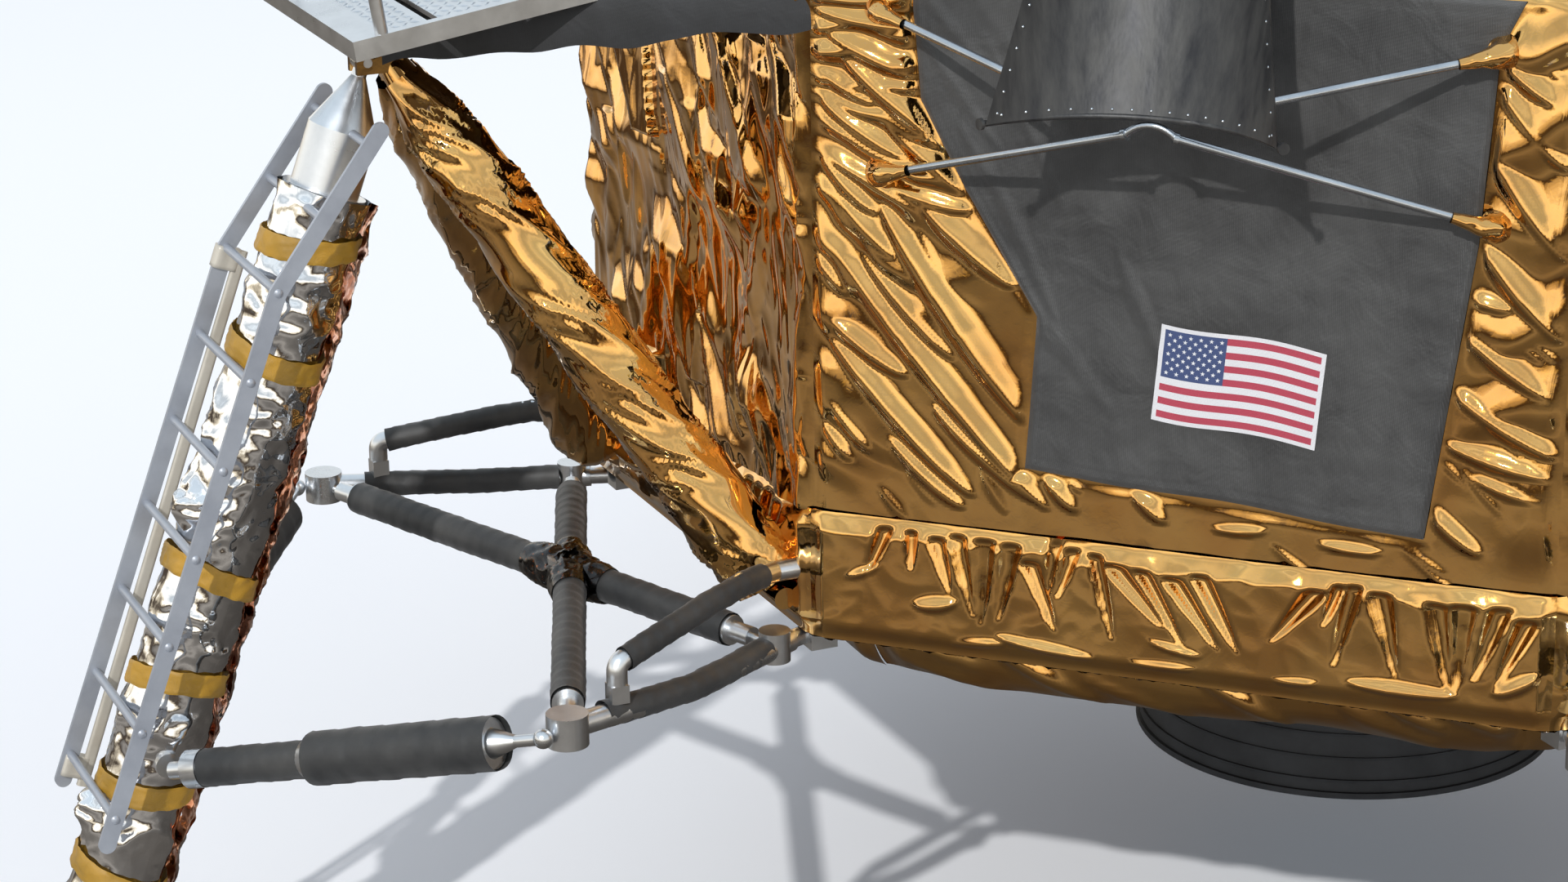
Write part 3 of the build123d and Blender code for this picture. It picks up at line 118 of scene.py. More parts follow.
def facets(x, y, size, seed):
    """Creased facets: the upper envelope of tilted pyramids with a diamond plan, one to each cell."""
    ix, iy = np.floor(x / size[0]).astype(np.int64), np.floor(y / size[1]).astype(np.int64)
    total = np.full(np.broadcast(x, y).shape, -9.0)
    for dx in (-1, 0, 1):
        for dy in (-1, 0, 1):
            cell = (ix + dx, iy + dy)
            shift_x, shift_y, lean, tip, high = (hashed(*cell, seed + k) - 0.5 for k in range(5))
            u = x / size[0] - cell[0] - 0.5 - 0.7 * shift_x
            v = y / size[1] - cell[1] - 0.5 - 0.7 * shift_y
            peak = 0.6 * high + 1.1 * lean * u + 0.9 * tip * v
            total = np.maximum(total, peak - np.abs(u + 0.45 * v) - 0.6 * np.abs(v))
    return total


def smooth(low, high, value):
    """Smooth step 3t^2-2t^3 from 0 at low to 1 at high."""
    t = np.clip((value - low) / (high - low), 0, 1)
    return t * t * (3 - 2 * t)


def leaves(x, y, table, skew=0.42):
    """Folds shaped like leaves: a smooth ridge across each one, steeper on one side by skew, that
    tapers to both tips as 1 - (2 d / length)^2; the highest is kept where folds meet."""
    total = np.zeros(np.broadcast(x, y).shape)
    for cx, cy, slant, length, width, height in table:
        lengthwise = (x - cx) * cos(slant) + (y - cy) * sin(slant)
        across = -(x - cx) * sin(slant) + (y - cy) * cos(slant)
        taper = np.sqrt(np.clip(1 - (2 * lengthwise / length) ** 2, 0, 1))
        t = across / (width / 2 * taper + 1e-4)
        t = t + skew * (1 - np.minimum(t * t, 1))
        total = np.maximum(total, height * taper * np.clip(1 - t * t, 0, 1) ** 1.8)
    return total


def scatter(seed, x_range, y_range, pitch, slant, length, width, height, keep=1.0):
    """Rows of leaf folds on a jittered grid; slant may depend on the place, and sizes vary by half."""
    random = np.random.default_rng(seed)
    table = []
    for x in np.arange(*x_range, pitch[0]):
        for y in np.arange(*y_range, pitch[1]):
            jitter = random.uniform(-0.5, 0.5, 2) * np.array(pitch)
            turn, long, wide, high, chance = random.uniform(0, 1, 5)
            place = (x + jitter[0], y + jitter[1])
            tilt = slant(*place) if callable(slant) else slant
            if chance < keep:
                table.append((
                    *place, tilt + 0.35 * (turn - 0.5), length * (0.55 + 0.9 * long),
                    width * (0.6 + 0.8 * wide), height * (0.5 + 0.7 * high),
                ))
    return table


def surface(name, points, material, slot=None, closed=False, replaces=()):
    """A mesh from an array of points over two parameters, joined round where it is closed."""
    rows, columns = points.shape[:2]
    grid = np.arange(rows * columns).reshape(rows, columns)
    if closed:
        grid = np.concatenate([grid, grid[:, :1]], axis=1)
    quads = np.stack([grid[:-1, :-1], grid[:-1, 1:], grid[1:, 1:], grid[1:, :-1]], axis=-1).reshape(-1, 4)
    places = np.stack(np.meshgrid(np.linspace(0, 1, columns), np.linspace(0, 1, rows)), axis=-1)
    return polygons(name, points.reshape(-1, 3), quads, material, slot, replaces, places.reshape(-1, 2))


def polygons(name, points, faces, material, slot=None, replaces=(), places=None):
    """A smooth mesh from points and equal-sided faces given as an array of indices."""
    mesh = bpy.data.meshes.new(name)
    count, corners = faces.shape
    mesh.vertices.add(len(points))
    mesh.vertices.foreach_set("co", np.asarray(points, np.float32).ravel())
    mesh.loops.add(count * corners)
    mesh.loops.foreach_set("vertex_index", faces.astype(np.int32).ravel())
    mesh.polygons.add(count)
    mesh.polygons.foreach_set("loop_start", np.arange(0, count * corners, corners, dtype=np.int32))
    mesh.update(calc_edges=True)
    if places is not None:
        layer = mesh.uv_layers.new(name="across_and_along")
        layer.data.foreach_set("uv", places[faces.ravel()].astype(np.float32).ravel())
    mesh.shade_smooth()
    mesh.materials.append(material)
    piece = bpy.data.objects.new(name, mesh)
    bpy.context.scene.collection.objects.link(piece)
    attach(piece, "root")
    if replaces:
        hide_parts(*replaces)
    return piece


def turned(points, degrees_round):
    """The points turned about the vehicle's axis."""
    c, s = cos(radians(degrees_round)), sin(radians(degrees_round))
    x, y = points[..., 0], points[..., 1]
    return np.stack([c * x - s * y, s * x + c * y, points[..., 2]], axis=-1)


def unit(vector):
    """The vector, or each vector of an array, at a length of one."""
    return vector / np.linalg.norm(vector, axis=-1, keepdims=True)


def repeated(shape, places):
    """One array of points and faces from copies of a small shape at each 4 by 4 placing."""
    points, faces = shape
    moved = np.einsum("nij,pj->npi", places[:, :3, :3], points) + places[:, None, :3, 3]
    shift = (np.arange(len(places)) * len(points))[:, None, None]
    return moved.reshape(-1, 3), (faces[None] + shift).reshape(-1, faces.shape[1])


def along(path, station):
    """Points at stations along a polyline of points by length, and the line's whole length."""
    path = np.asarray(path, float)
    run = np.concatenate([[0], np.cumsum(np.linalg.norm(np.diff(path, axis=0), axis=1))])
    return np.stack([np.interp(station, run, path[:, k]) for k in range(3)], axis=-1), run[-1]


def sleeve(
    path, radius, lift, step=0.01, around=48, toward=(0.13, 0.21, 1.0), arc=(0, 2 * pi), short=0.0
):
    """A tube round a path: at s and angle, the path's point plus (radius + lift) outwards.

    The angle is counted from the direction toward, over arc; radius and lift are each a number or a
    function of s and the angle. The tube stops short of the path's end.
    """
    length = along(path, 0)[1]
    s = spread(0.0, length - short, step)
    centre = along(path, s)[0]
    tangent = unit(np.gradient(centre, axis=0))
    toward = np.asarray(toward, float)
    up = unit(toward - (tangent @ toward)[:, None] * tangent)
    side = np.cross(tangent, up)
    whole_turn = arc[1] - arc[0] > 2 * pi - 0.001
    angle = np.linspace(*arc, around, endpoint=not whole_turn)
    grid_s, grid_a = np.meshgrid(s, angle, indexing="ij")
    reach = sum(part(grid_s, grid_a) if callable(part) else part + 0 * grid_s for part in (radius, lift))
    out = np.cos(grid_a)[..., None] * up[:, None] + np.sin(grid_a)[..., None] * side[:, None]
    return centre[:, None] + out * reach[..., None]


def bar_reach(half_wide, half_thick, power=6):
    """Reach of a rounded bar's outline, (|cos a / w|^n + |sin a / t|^n)^(-1/n), as a function."""
    def reach(s, a):
        wide, thick = np.abs(np.cos(a) / half_wide), np.abs(np.sin(a) / half_thick)
        return (wide**power + thick**power) ** (-1 / power)
    return reach


def dome(radius, height, rings=3):
    """A low round head with ten sides: rings at radius sin(t) and height cos(t), standing on z = 0."""
    around = 10
    t = np.linspace(0.12, pi / 2, rings)
    a = np.linspace(0, 2 * pi, around, endpoint=False)
    tt, aa = np.meshgrid(t, a, indexing="ij")
    reach = radius * np.sin(tt)
    points = np.stack([reach * np.cos(aa), reach * np.sin(aa), height * np.cos(tt)], axis=-1)
    index = np.arange(rings * around).reshape(rings, around)
    grid = np.concatenate([index, index[:, :1]], axis=1)
    quads = np.stack([grid[:-1, :-1], grid[1:, :-1], grid[1:, 1:], grid[:-1, 1:]], axis=-1).reshape(-1, 4)
    fan = 2 * np.arange(4)
    cap = np.stack([0 * fan, fan + 1, fan + 2, fan + 3], axis=-1)
    return points.reshape(-1, 3), np.concatenate([quads, cap])


def placings(*columns):
    """4 by 4 placings from arrays of their x, y and z axes and their origins."""
    made = np.tile(np.eye(4), (len(columns[0]), 1, 1))
    made[:, :3] = np.stack(columns, axis=-1)
    return made


def heads_along(origins, normals, radius, height):
    """Round heads at each origin, standing along each normal, as one array of points and faces."""
    z = unit(normals)
    x = unit(np.cross(np.where(np.abs(z[:, 2:]) > 0.9, (1.0, 0, 0), (0, 0, 1.0)), z))
    return repeated(dome(radius, height), placings(x, np.cross(z, x), z, origins))


# Finishes

def linear(code):
    """An sRGB hex colour as linear red, green, blue and alpha."""
    parts = [int(code[k:k + 2], 16) / 255 for k in (1, 3, 5)]
    return (*[c / 12.92 if c <= 0.04045 else ((c + 0.055) / 1.055) ** 2.4 for c in parts], 1)


def fill(tree, made, inputs):
    """Fills a node's inputs, by name or by number as in i0, from other sockets or from values."""
    for key, value in inputs.items():
        socket = made.inputs[int(key[1:])] if key[1:].isdigit() else made.inputs[key.replace("_", " ")]
        if isinstance(value, bpy.types.NodeSocket):
            tree.links.new(value, socket)
        else:
            socket.default_value = value


def node(tree, kind, settings=None, output=0, stops=(), **inputs):
    """Adds a shader node with its settings, colour stops and inputs, and gives one output back."""
    made = tree.nodes.new("ShaderNode" + kind)
    for key, value in (settings or {}).items():
        setattr(made, key, value)
    if stops:
        elements = made.color_ramp.elements
        while len(elements) < len(stops):
            elements.new(0.5)
        for element, (position, tone) in zip(elements, stops):
            element.position = position
            element.color = linear(tone) if isinstance(tone, str) else (tone, tone, tone, 1)
    fill(tree, made, inputs)
    return made.outputs[output]


def start_material(name, **constants):
    """A material with one shader, whose constant sockets are set by name."""
    material = bpy.data.materials.new(name)
    material.use_nodes = True
    shader = material.node_tree.nodes["Principled BSDF"]
    fill(material.node_tree, shader, constants)
    return material, material.node_tree, shader


def film(name, pale, deep, rough, waves=0.0016, flecks=None, coat=1.0):
    """Metallised plastic film: a tinted mirror under a clear coat, rippled at 120 and 25 mm."""
    # Polyimide bends light more than most plastics do, so its face mirrors more: an index near 1.7.
    material, tree, shader = start_material(
        name, Metallic=1.0, Coat_Weight=coat, Coat_Roughness=0.05, Coat_IOR=1.75
    )
    place = node(tree, "TexCoord", output="Object")
    patch = node(tree, "TexNoise", Vector=place, Scale=5, Detail=3)
    colour = node(tree, "ValToRGB", stops=((0.35, deep), (0.65, pale)), Fac=patch)
    if flecks:
        speck = node(tree, "TexNoise", Vector=place, Scale=70, Detail=5, Roughness=0.75)
        shown = node(tree, "ValToRGB", stops=((0.60, 0.0), (0.66, 1.0)), Fac=speck)
        colour = node(tree, "Mix", {"data_type": "RGBA"}, 2, i0=shown, i6=colour, i7=linear(flecks))
    broad = node(tree, "TexNoise", Vector=place, Scale=8, Detail=1, Distortion=0.6)
    fine = node(tree, "TexNoise", Vector=place, Scale=38, Detail=2, Distortion=1.0)
    height = node(tree, "Math", {"operation": "MULTIPLY_ADD"}, i0=fine, i1=0.14, i2=broad)
    fill(tree, shader, {
        "Base Color": colour,
        "Roughness": node(tree, "ValToRGB", stops=((0.3, rough * 0.75), (0.75, rough * 1.5)), Fac=fine),
        "Normal": node(tree, "Bump", Height=height, Distance=waves),
    })
    return material


def woven(name, dark, light, weave, rough=0.6, sheen=0.3, wrinkle=0.004):
    """Coated cloth: two crossing threads of the given spacing in metres, with soft creases."""
    material, tree, shader = start_material(
        name, Roughness=rough, Sheen_Weight=sheen, Sheen_Roughness=0.4
    )
    place = node(tree, "TexCoord", output="Object")
    cloud = node(tree, "TexNoise", Vector=place, Scale=5, Detail=5, Roughness=0.6)
    period = pi / 10  # how far apart a wave texture's bands are at scale 1, in metres
    warp, weft = (
        node(tree, "TexWave", {"bands_direction": way}, "Fac", Vector=place, Scale=period / weave)
        for way in ("X", "Z")
    )
    cross = node(tree, "Math", {"operation": "MULTIPLY"}, i0=warp, i1=weft)
    soft = node(tree, "TexNoise", Vector=place, Scale=9, Detail=3, Distortion=0.5)
    height = node(tree, "Math", {"operation": "MULTIPLY_ADD"}, i0=cross, i1=0.05, i2=soft)
    fill(tree, shader, {
        "Base Color": node(tree, "ValToRGB", stops=((0.35, dark), (0.7, light)), Fac=cloud),
        "Normal": node(tree, "Bump", Height=height, Distance=wrinkle),
    })
    return material


def metal(name, pale, dark, rough, metallic=1.0, stretch=(1, 1, 1), grain=300, depth=0.00015):
    """Bare or painted metal: a grain stretched along the working direction, under mild tone changes."""
    material, tree, shader = start_material(name, Metallic=metallic)
    place = node(tree, "Mapping", Vector=node(tree, "TexCoord", output="Object"), Scale=stretch)
    grainy = node(tree, "TexNoise", Vector=place, Scale=grain, Detail=3)
    tone = node(tree, "TexNoise", Vector=place, Scale=8, Detail=4, Roughness=0.65)
    fill(tree, shader, {
        "Base Color": node(tree, "ValToRGB", stops=((0.3, dark), (0.7, pale)), Fac=tone),
        "Roughness": node(tree, "ValToRGB", stops=((0.25, rough * 0.8), (0.8, rough * 1.25)), Fac=tone),
        "Normal": node(tree, "Bump", Height=grainy, Distance=depth),
    })
    return material


# Polyimide film, aluminised on its back: an amber mirror under a glossy face
gold_film = film("amber_metallised_film", "#DFA94F", "#D3973B", 0.06)
# The same film with a thicker layer: a deeper, redder mirror
copper_film = film("copper_metallised_film", "#C8763A", "#9A4F20", 0.12, 0.003)
# Aluminised polyester film: a colourless mirror, sharply crumpled
silver_film = film("silver_metallised_film", "#EDEEF0", "#D9DADE", 0.07, 0.002)
# Film under black paint that has rubbed through: dark, with copper flecks
black_film = film("black_crumpled_film", "#3A393A", "#1B1A1B", 0.24, 0.002, "#B4632C", 0.3)
# A stack of torn film layers seen edge on: dark, with bright threads of film
torn_film = film("torn_film_edge", "#2B1F14", "#0E0A07", 0.3, 0.002, "#D69A44", 0.1)
# Glass cloth with a dark coating: a dull sheen. Its threads are drawn coarser than life, to show.
charcoal_cloth = woven("charcoal_coated_cloth", "#2F2E2D", "#454442", 0.0025, 0.42, 0.3, 0.010)
# Matt black glass cloth: hardly any light comes back
black_cloth = woven("black_blanket_cloth", "#161617", "#242426", 0.0025)
# Woven glass tape, wound on under tension: dark grey with a faint weave
wrap_tape = woven("charcoal_wrapping_tape", "#232425", "#3D3C3A", 0.0022, 0.55, 0.15, 0.003)
# Glass fibre tape soaked with resin: amber, with a soft gloss
amber_tape = woven("amber_fibre_tape", "#8F6C18", "#C08F24", 0.0014, 0.4, 0.1, 0.006)
# Embroidery thread of the stars: a soft white without gloss
white_thread = woven("white_star_thread", "#CDCBCB", "#DEDDDC", 0.001, 0.8, 0.1, 0.0005)
# Machined aluminium: pale, with a satin shine
satin_aluminium = metal("satin_aluminium", "#E0E2E5", "#CDD0D4", 0.3)
# Drawn and brushed aluminium tube: clear highlights along it
brushed_aluminium = metal("brushed_aluminium_tube", "#BFC4CA", "#A9AEB5", 0.22)
# Aluminium under a grey anodised layer: only partly a mirror
ladder_grey = metal("grey_anodised_ladder", "#A9ADB4", "#9A9EA6", 0.38, 0.35)
# Nickel steel sheet darkened by heat: blurred reflections and upright streaks
gunmetal = metal("gunmetal_heat_shield", "#504F4D", "#333335", 0.46, 0.6, (2.6, 2.6, 0.55), 9, 0.00215)
# Baked ceramic coat on the nozzle's metal: dark and nearly dull
nozzle_coat = metal("charcoal_nozzle_coating", "#3D3F42", "#2F3134", 0.5, 0.3)
# Bare titanium: a warm grey metal
titanium = metal("bare_titanium", "#9C9792", "#827D78", 0.35)
# Thin aluminium sheet with a matt coat: broad, soft highlights
cabin_grey = metal("matte_cabin_sheet", "#8B8D92", "#74767B", 0.45, 0.55)
# The same sheet in a paler coat
hatch_grey = metal("hatch_sheet", "#A3A5A9", "#8C8E92", 0.4, 0.6)
# Matt black enamel: dark, with faint highlights
black_paint = metal("matt_black_paint", "#1B1B1D", "#141415", 0.55, 0.0)
# White enamel: bright and even from every side
dish_white = metal("white_dish_paint", "#DEDDD8", "#CFCEC8", 0.42, 0.0)
# Beige primer on aluminium bar: warm and half dull
beige_plate = metal("beige_coated_bar", "#C9C2B4", "#B9B2A4", 0.4, 0.2)
# Coated window glass: clear with a dark, slightly blue body
window_glass, _, _ = start_material(
    "window_glass", Roughness=0.03, IOR=1.5, Transmission_Weight=0.85, Base_Color=linear("#5A6672")
)

finish_by_slot = {
    "gold_foil": gold_film, "black_blanket": black_cloth, "charcoal_blanket": charcoal_cloth,
    "woven_patch": charcoal_cloth, "aluminium": satin_aluminium, "strut_wrap": wrap_tape,
    "heat_shield": gunmetal, "titanium": titanium, "nozzle": nozzle_coat, "cabin_skin": cabin_grey,
    "window_glass": window_glass, "thruster_metal": cabin_grey, "antenna_white": dish_white,
    "hatch_skin": hatch_grey, "silver_wrap": silver_film, "bay_skin": black_paint,
}
finish_by_node = {
    "ladder": ladder_grey, "deflector_struts": brushed_aluminium, "engine_bell": nozzle_coat,
    "truss_arms": satin_aluminium, "truss_braces": satin_aluminium, "secondary_struts": satin_aluminium,
    **{f"primary_strut_{side.name}": satin_aluminium for side in leg_sides},
}
for part in frame["record"]["subparts"]:
    materials = frame["nodes"][part["node"]].data.materials
    materials.clear()
    materials.append(finish_by_node.get(part["node"], finish_by_slot[part["material_slot"]]))


# Foil on the descent body

def side_points(side, across, z, lift):
    """A side with rounded ends: straight over its width, then half of an eighth turn at each corner."""
    straight = side.half - corner_round * tan(pi / 8)
    past = np.clip(np.abs(across) - straight, 0, None) / corner_round
    x = np.sign(across) * (np.minimum(np.abs(across), straight) + (corner_round + lift) * np.sin(past))
    y = -(side.reach - corner_round + (corner_round + lift) * np.cos(past))
    return turned(np.stack([x, y, z + 0 * x], axis=-1), side.turn)


def side_span(side):
    """Half of a side's own length over its surface, out to the middle of the corner's bend."""
    return side.half - corner_round * tan(pi / 8) + corner_round * pi / 8


# Main folds of the fore port side: across, height, slant in degrees, length, width, how proud
fore_port_folds = (
    (-0.629, 2.172, -49, 0.93, 0.085, 0.021), (-0.812, 2.222, -35, 0.28, 0.070, 0.017),
    (-0.718, 2.041, -46, 0.57, 0.080, 0.019), (-0.857, 2.009, -51, 0.22, 0.060, 0.015),
    (-0.887, 1.946, -53, 0.13, 0.045, 0.011), (-0.649, 1.890, -41, 0.27, 0.060, 0.014),
    (-0.485, 1.956, -39, 0.38, 0.065, 0.016), (-0.801, 2.531, -45, 0.26, 0.075, 0.017),
    (-0.564, 2.314, -54, 0.70, 0.095, 0.021), (-0.291, 1.876, -49, 0.13, 0.050, 0.012),
    (-0.061, 1.871, -46, 0.13, 0.050, 0.012), (-0.547, 2.521, -40, 0.37, 0.085, 0.019),
    (-0.814, 3.064, -7, 0.27, 0.065, 0.017), (-0.781, 2.977, -22, 0.29, 0.080, 0.020),
    (-0.715, 2.863, -36, 0.40, 0.090, 0.022), (-0.800, 2.780, -31, 0.30, 0.080, 0.019),
    (-0.851, 2.635, -46, 0.21, 0.065, 0.016), (-0.654, 2.622, -14, 0.25, 0.065, 0.015),
    (-0.905, 2.400, -52, 0.16, 0.050, 0.012), (-0.700, 2.330, -47, 0.36, 0.060, 0.013),
    (-0.660, 2.740, -40, 0.34, 0.070, 0.016), (-0.840, 2.880, -25, 0.20, 0.060, 0.014),
    (0.849, 3.017, -37, 0.21, 0.060, 0.016), (0.855, 2.913, -49, 0.26, 0.070, 0.017),
    (0.845, 2.742, -55, 0.37, 0.080, 0.020), (0.842, 2.520, -49, 0.34, 0.080, 0.019),
    (0.760, 2.481, -15, 0.14, 0.045, 0.011), (0.823, 2.327, -34, 0.32, 0.070, 0.017),
    (0.817, 2.181, -29, 0.32, 0.070, 0.017), (0.810, 2.085, -13, 0.30, 0.060, 0.015),
    (0.853, 2.012, -12, 0.22, 0.055, 0.014), (0.700, 1.900, -40, 0.20, 0.060, 0.014),
    (0.450, 1.815, -2, 0.16, 0.030, 0.009), (0.170, 1.830, 4, 0.14, 0.030, 0.008),
)


def fan_slant(x, y):
    """Slant of the folds on a side: steep by its left edge, flatter towards the top."""
    return radians(-50 + 34 * float(smooth(2.75, 3.15, np.array(y)))) + 0.15 * sin(3 * x)


def pleat_field(side, across, z):
    """Ridges side by side that fan out from a point beyond the side's upper left corner.

    The phase is the turn about that point over the pleats' own angle, bent by noise; each ridge rises
    over a third of its width and falls over the rest, and they fade out away from the side edges.
    """
    seed = 71 + side.index
    pleat_angle, rise, tallest = 0.095, 0.36, 0.024
    from_x, from_z = -side.half - 0.53, deck_z - 0.08
    turn = np.arctan2(z - from_z, across - from_x) - 0.25 * (across / side.half)
    away = np.hypot(z - from_z, across - from_x)
    phase = turn / pleat_angle + 0.6 * noise(away / 0.3, turn * 4, seed)
    phase = phase + 0.15 * noise(away / 0.12, turn * 8, seed + 1)
    share = phase - np.floor(phase)
    ridge = smooth(0, 1, np.where(share < rise, share / rise, (1 - share) / (1 - rise)))
    number = np.floor(phase).astype(np.int64)
    tall = 0.6 + 0.5 * hashed(number, 0 * number, seed)
    left = 1 - smooth(0.22, 0.60, side.half + across - 0.35 * (z - 2.6))
    right = 0.9 * (1 - smooth(0.14, 0.44, side.half - across))
    patch = 0.25 + 0.75 * smooth(-0.35, 0.2, noise(across / 0.28, z / 0.3, seed + 2) + 0.3)
    clear_of_seam = smooth(seam_z + 0.02, seam_z + 0.2, z)
    return tallest * ridge * tall * np.maximum(left, right) * patch * clear_of_seam


def side_lift(side, across, z):
    """How far the foil stands off a side: leaf folds on corner sides, upright crumples on leg sides.

    The higher of the overlapping folds is kept, waves and creases are added to it, and all of it
    fades to the foil's least stand at the side's ends, where the next side's foil meets it.
    """
    seed = 11 + side.index
    run = side.start + side.half + across
    ranges = (-side.half, side.half), (seam_z, deck_z)
    broad = 0.0022 * noise(run / 0.5, z / 0.6, 5)
    edge = smooth(0, 0.035, side.half - np.abs(across))
    if side in corner_sides:
        if side.name == "fore_port":
            widen, heighten = 1.35, 1.45
            main = [
                (x, y, radians(slant), long, widen * wide, heighten * tall)
                for x, y, slant, long, wide, tall in fore_port_folds
            ]
            small = scatter(seed, *ranges, (0.17, 0.19), fan_slant, 0.2, 0.04, 0.007, 0.5)
        else:
            main = scatter(seed, *ranges, (0.17, 0.2), fan_slant, 0.45, 0.11, 0.024, 0.85)
            small = scatter(seed + 50, *ranges, (0.16, 0.16), fan_slant, 0.2, 0.045, 0.009, 0.6)
        folds = np.maximum(leaves(across, z, main), leaves(across, z, small))
        folds = np.maximum(folds, pleat_field(side, across, z))
        creases = 0.003 * crinkle(run, z, 0.3, 19, 2, 1.3)
    else:
        sheet = scatter(seed, *ranges, (0.2, 0.35), radians(-99), 0.6, 0.13, 0.024, 0.6)
        chevrons = 0.048 * (facets(run + 0.25 * z, z, (0.17, 0.21), seed + 40) + 0.75)
        chevrons = chevrons * smooth(-0.3, 0.3, noise(run / 0.3, z / 0.5, seed + 41) + 0.25)
        folds = np.maximum(leaves(across, z, sheet, 0.1), chevrons)
        creases = 0.007 * crinkle(run + 0.12 * z, z * 0.35, 0.12, 29, 2, 1.4)
    return foil_stand + edge * (folds + broad + creases)


# The corner blanket's side edges from the bottom up: across the side, height
blanket_left = (
    (-0.388, 1.927), (-0.359, 2.332), (-0.547, 2.642), (-0.665, 2.862), (-0.686, 3.107), (-0.655, 3.209),
)
blanket_right = ((0.632, 1.859), (0.732, 2.612), (0.763, 3.090), (0.818, 3.209))


def edge_at(edge, z):
    """How far across the side a blanket's edge lies at a height."""
    return np.interp(z, *np.array(edge).T[::-1])


def clear_of_blanket(across, z):
    """From 0 under the corner blanket to 1 where the foil is 35 mm past its edge."""
    low_left, low_right = blanket_left[0], blanket_right[0]
    low = np.interp(across, (low_left[0], low_right[0]), (low_left[1], low_right[1]))
    past_sides = np.maximum(edge_at(blanket_left, z) - across, across - edge_at(blanket_right, z))
    return smooth(0.004, 0.035, np.maximum(past_sides, low - z))


def foil_sides():
    """One sheet of foil over each side, from the seam up over the deck's edge."""
    for side in sides:
        step = 0.0075 if side.name in shown_sides else 0.02
        span = side_span(side)
        across, z = np.meshgrid(spread(-span, span, step), spread(seam_z - 0.004, deck_z, step))
        lift = side_lift(side, across, z)
        if side in corner_sides:
            proud = np.maximum(lift - foil_under_blanket, 0)
            lift = np.minimum(lift, foil_under_blanket + clear_of_blanket(across, z) * proud)
        lift = lift * smooth(0, 0.03, deck_z - z) + 0.002
        surface(f"foil_side_{side.name}", side_points(side, across, z, lift), gold_film, "gold_foil")


# Gathers in the fore port side's band: top across and height, tip across and height, half width
fore_port_gathers = (
    (-0.754, 1.732, -0.806, 1.595, 0.022), (-0.686, 1.731, -0.684, 1.624, 0.017),
    (-0.618, 1.721, -0.578, 1.576, 0.022), (-0.564, 1.732, -0.514, 1.515, 0.023),
    (-0.488, 1.730, -0.495, 1.497, 0.030), (-0.416, 1.726, -0.449, 1.514, 0.028),
    (-0.367, 1.688, -0.295, 1.506, 0.022), (-0.298, 1.747, -0.324, 1.581, 0.019),
    (-0.254, 1.732, -0.292, 1.598, 0.022), (-0.196, 1.726, -0.143, 1.502, 0.019),
    (-0.153, 1.707, -0.013, 1.557, 0.028), (-0.074, 1.700, 0.040, 1.513, 0.019),
    (0.004, 1.690, 0.134, 1.511, 0.022), (0.077, 1.706, 0.185, 1.508, 0.022),
    (0.381, 1.704, 0.265, 1.553, 0.029), (0.433, 1.722, 0.397, 1.613, 0.017),
    (0.471, 1.726, 0.425, 1.510, 0.023), (0.533, 1.717, 0.583, 1.502, 0.029),
    (0.674, 1.705, 0.715, 1.483, 0.029), (0.742, 1.709, 0.733, 1.485, 0.032),
    (0.836, 1.713, 0.775, 1.518, 0.028), (0.904, 1.690, 0.831, 1.512, 0.025),
)
# Low folds of the same band: across, height, slant in degrees, length, width, how proud
fore_port_low_folds = (
    (-0.618, 1.545, 10, 0.12, 0.064, 0.018), (-0.322, 1.461, -6, 0.27, 0.045, 0.014),
    (-0.014, 1.451, 1, 0.18, 0.035, 0.010), (0.021, 1.502, -11, 0.14, 0.035, 0.010),
    (0.602, 1.474, 0, 0.28, 0.055, 0.016), (0.879, 1.522, 30, 0.13, 0.060, 0.016),
    (-0.817, 1.607, 25, 0.10, 0.035, 0.010), (-0.50, 1.448, 8, 0.16, 0.040, 0.010),
    (0.33, 1.455, 4, 0.12, 0.030, 0.008),
)


def gathers(table, across, z):
    """Depth of V-shaped gathers under the shelf: at the share s of the way from top to tip, a dip as
    wide as w (1 - s)^0.6 and as deep as (1 - s)^0.6, with rounded rims."""
    total = np.zeros(across.shape)
    for x0, z0, x1, z1, wide in table:
        share = np.clip((z0 - z) / (z0 - z1), 0, 1)
        fade = (1 - share) ** 0.6
        near = 1.15 - np.abs(across - (x0 + (x1 - x0) * share)) / (1.2 * wide * fade + 0.004)
        total = np.maximum(total, smooth(0, 1, near) * fade * smooth(-0.004, 0.018, z0 - z))
    return total


def gather_table(seed, half):
    """Gathers for a side that the photograph doesn't show, in bunches with gaps between them."""
    random = np.random.default_rng(seed)
    table, x = [], -half + 0.06
    while x < half - 0.06:
        long, wide, lean, gap, flat = random.uniform(0, 1, 5)
        top = seam_z - 0.015 - 0.04 * gap
        table.append((x, top, x + (lean - 0.5) * 0.14, top - 0.11 - 0.13 * long, 0.016 + 0.016 * wide))
        x += 0.055 + 0.045 * gap + (0.2 * flat if flat > 0.85 else 0)
    return table


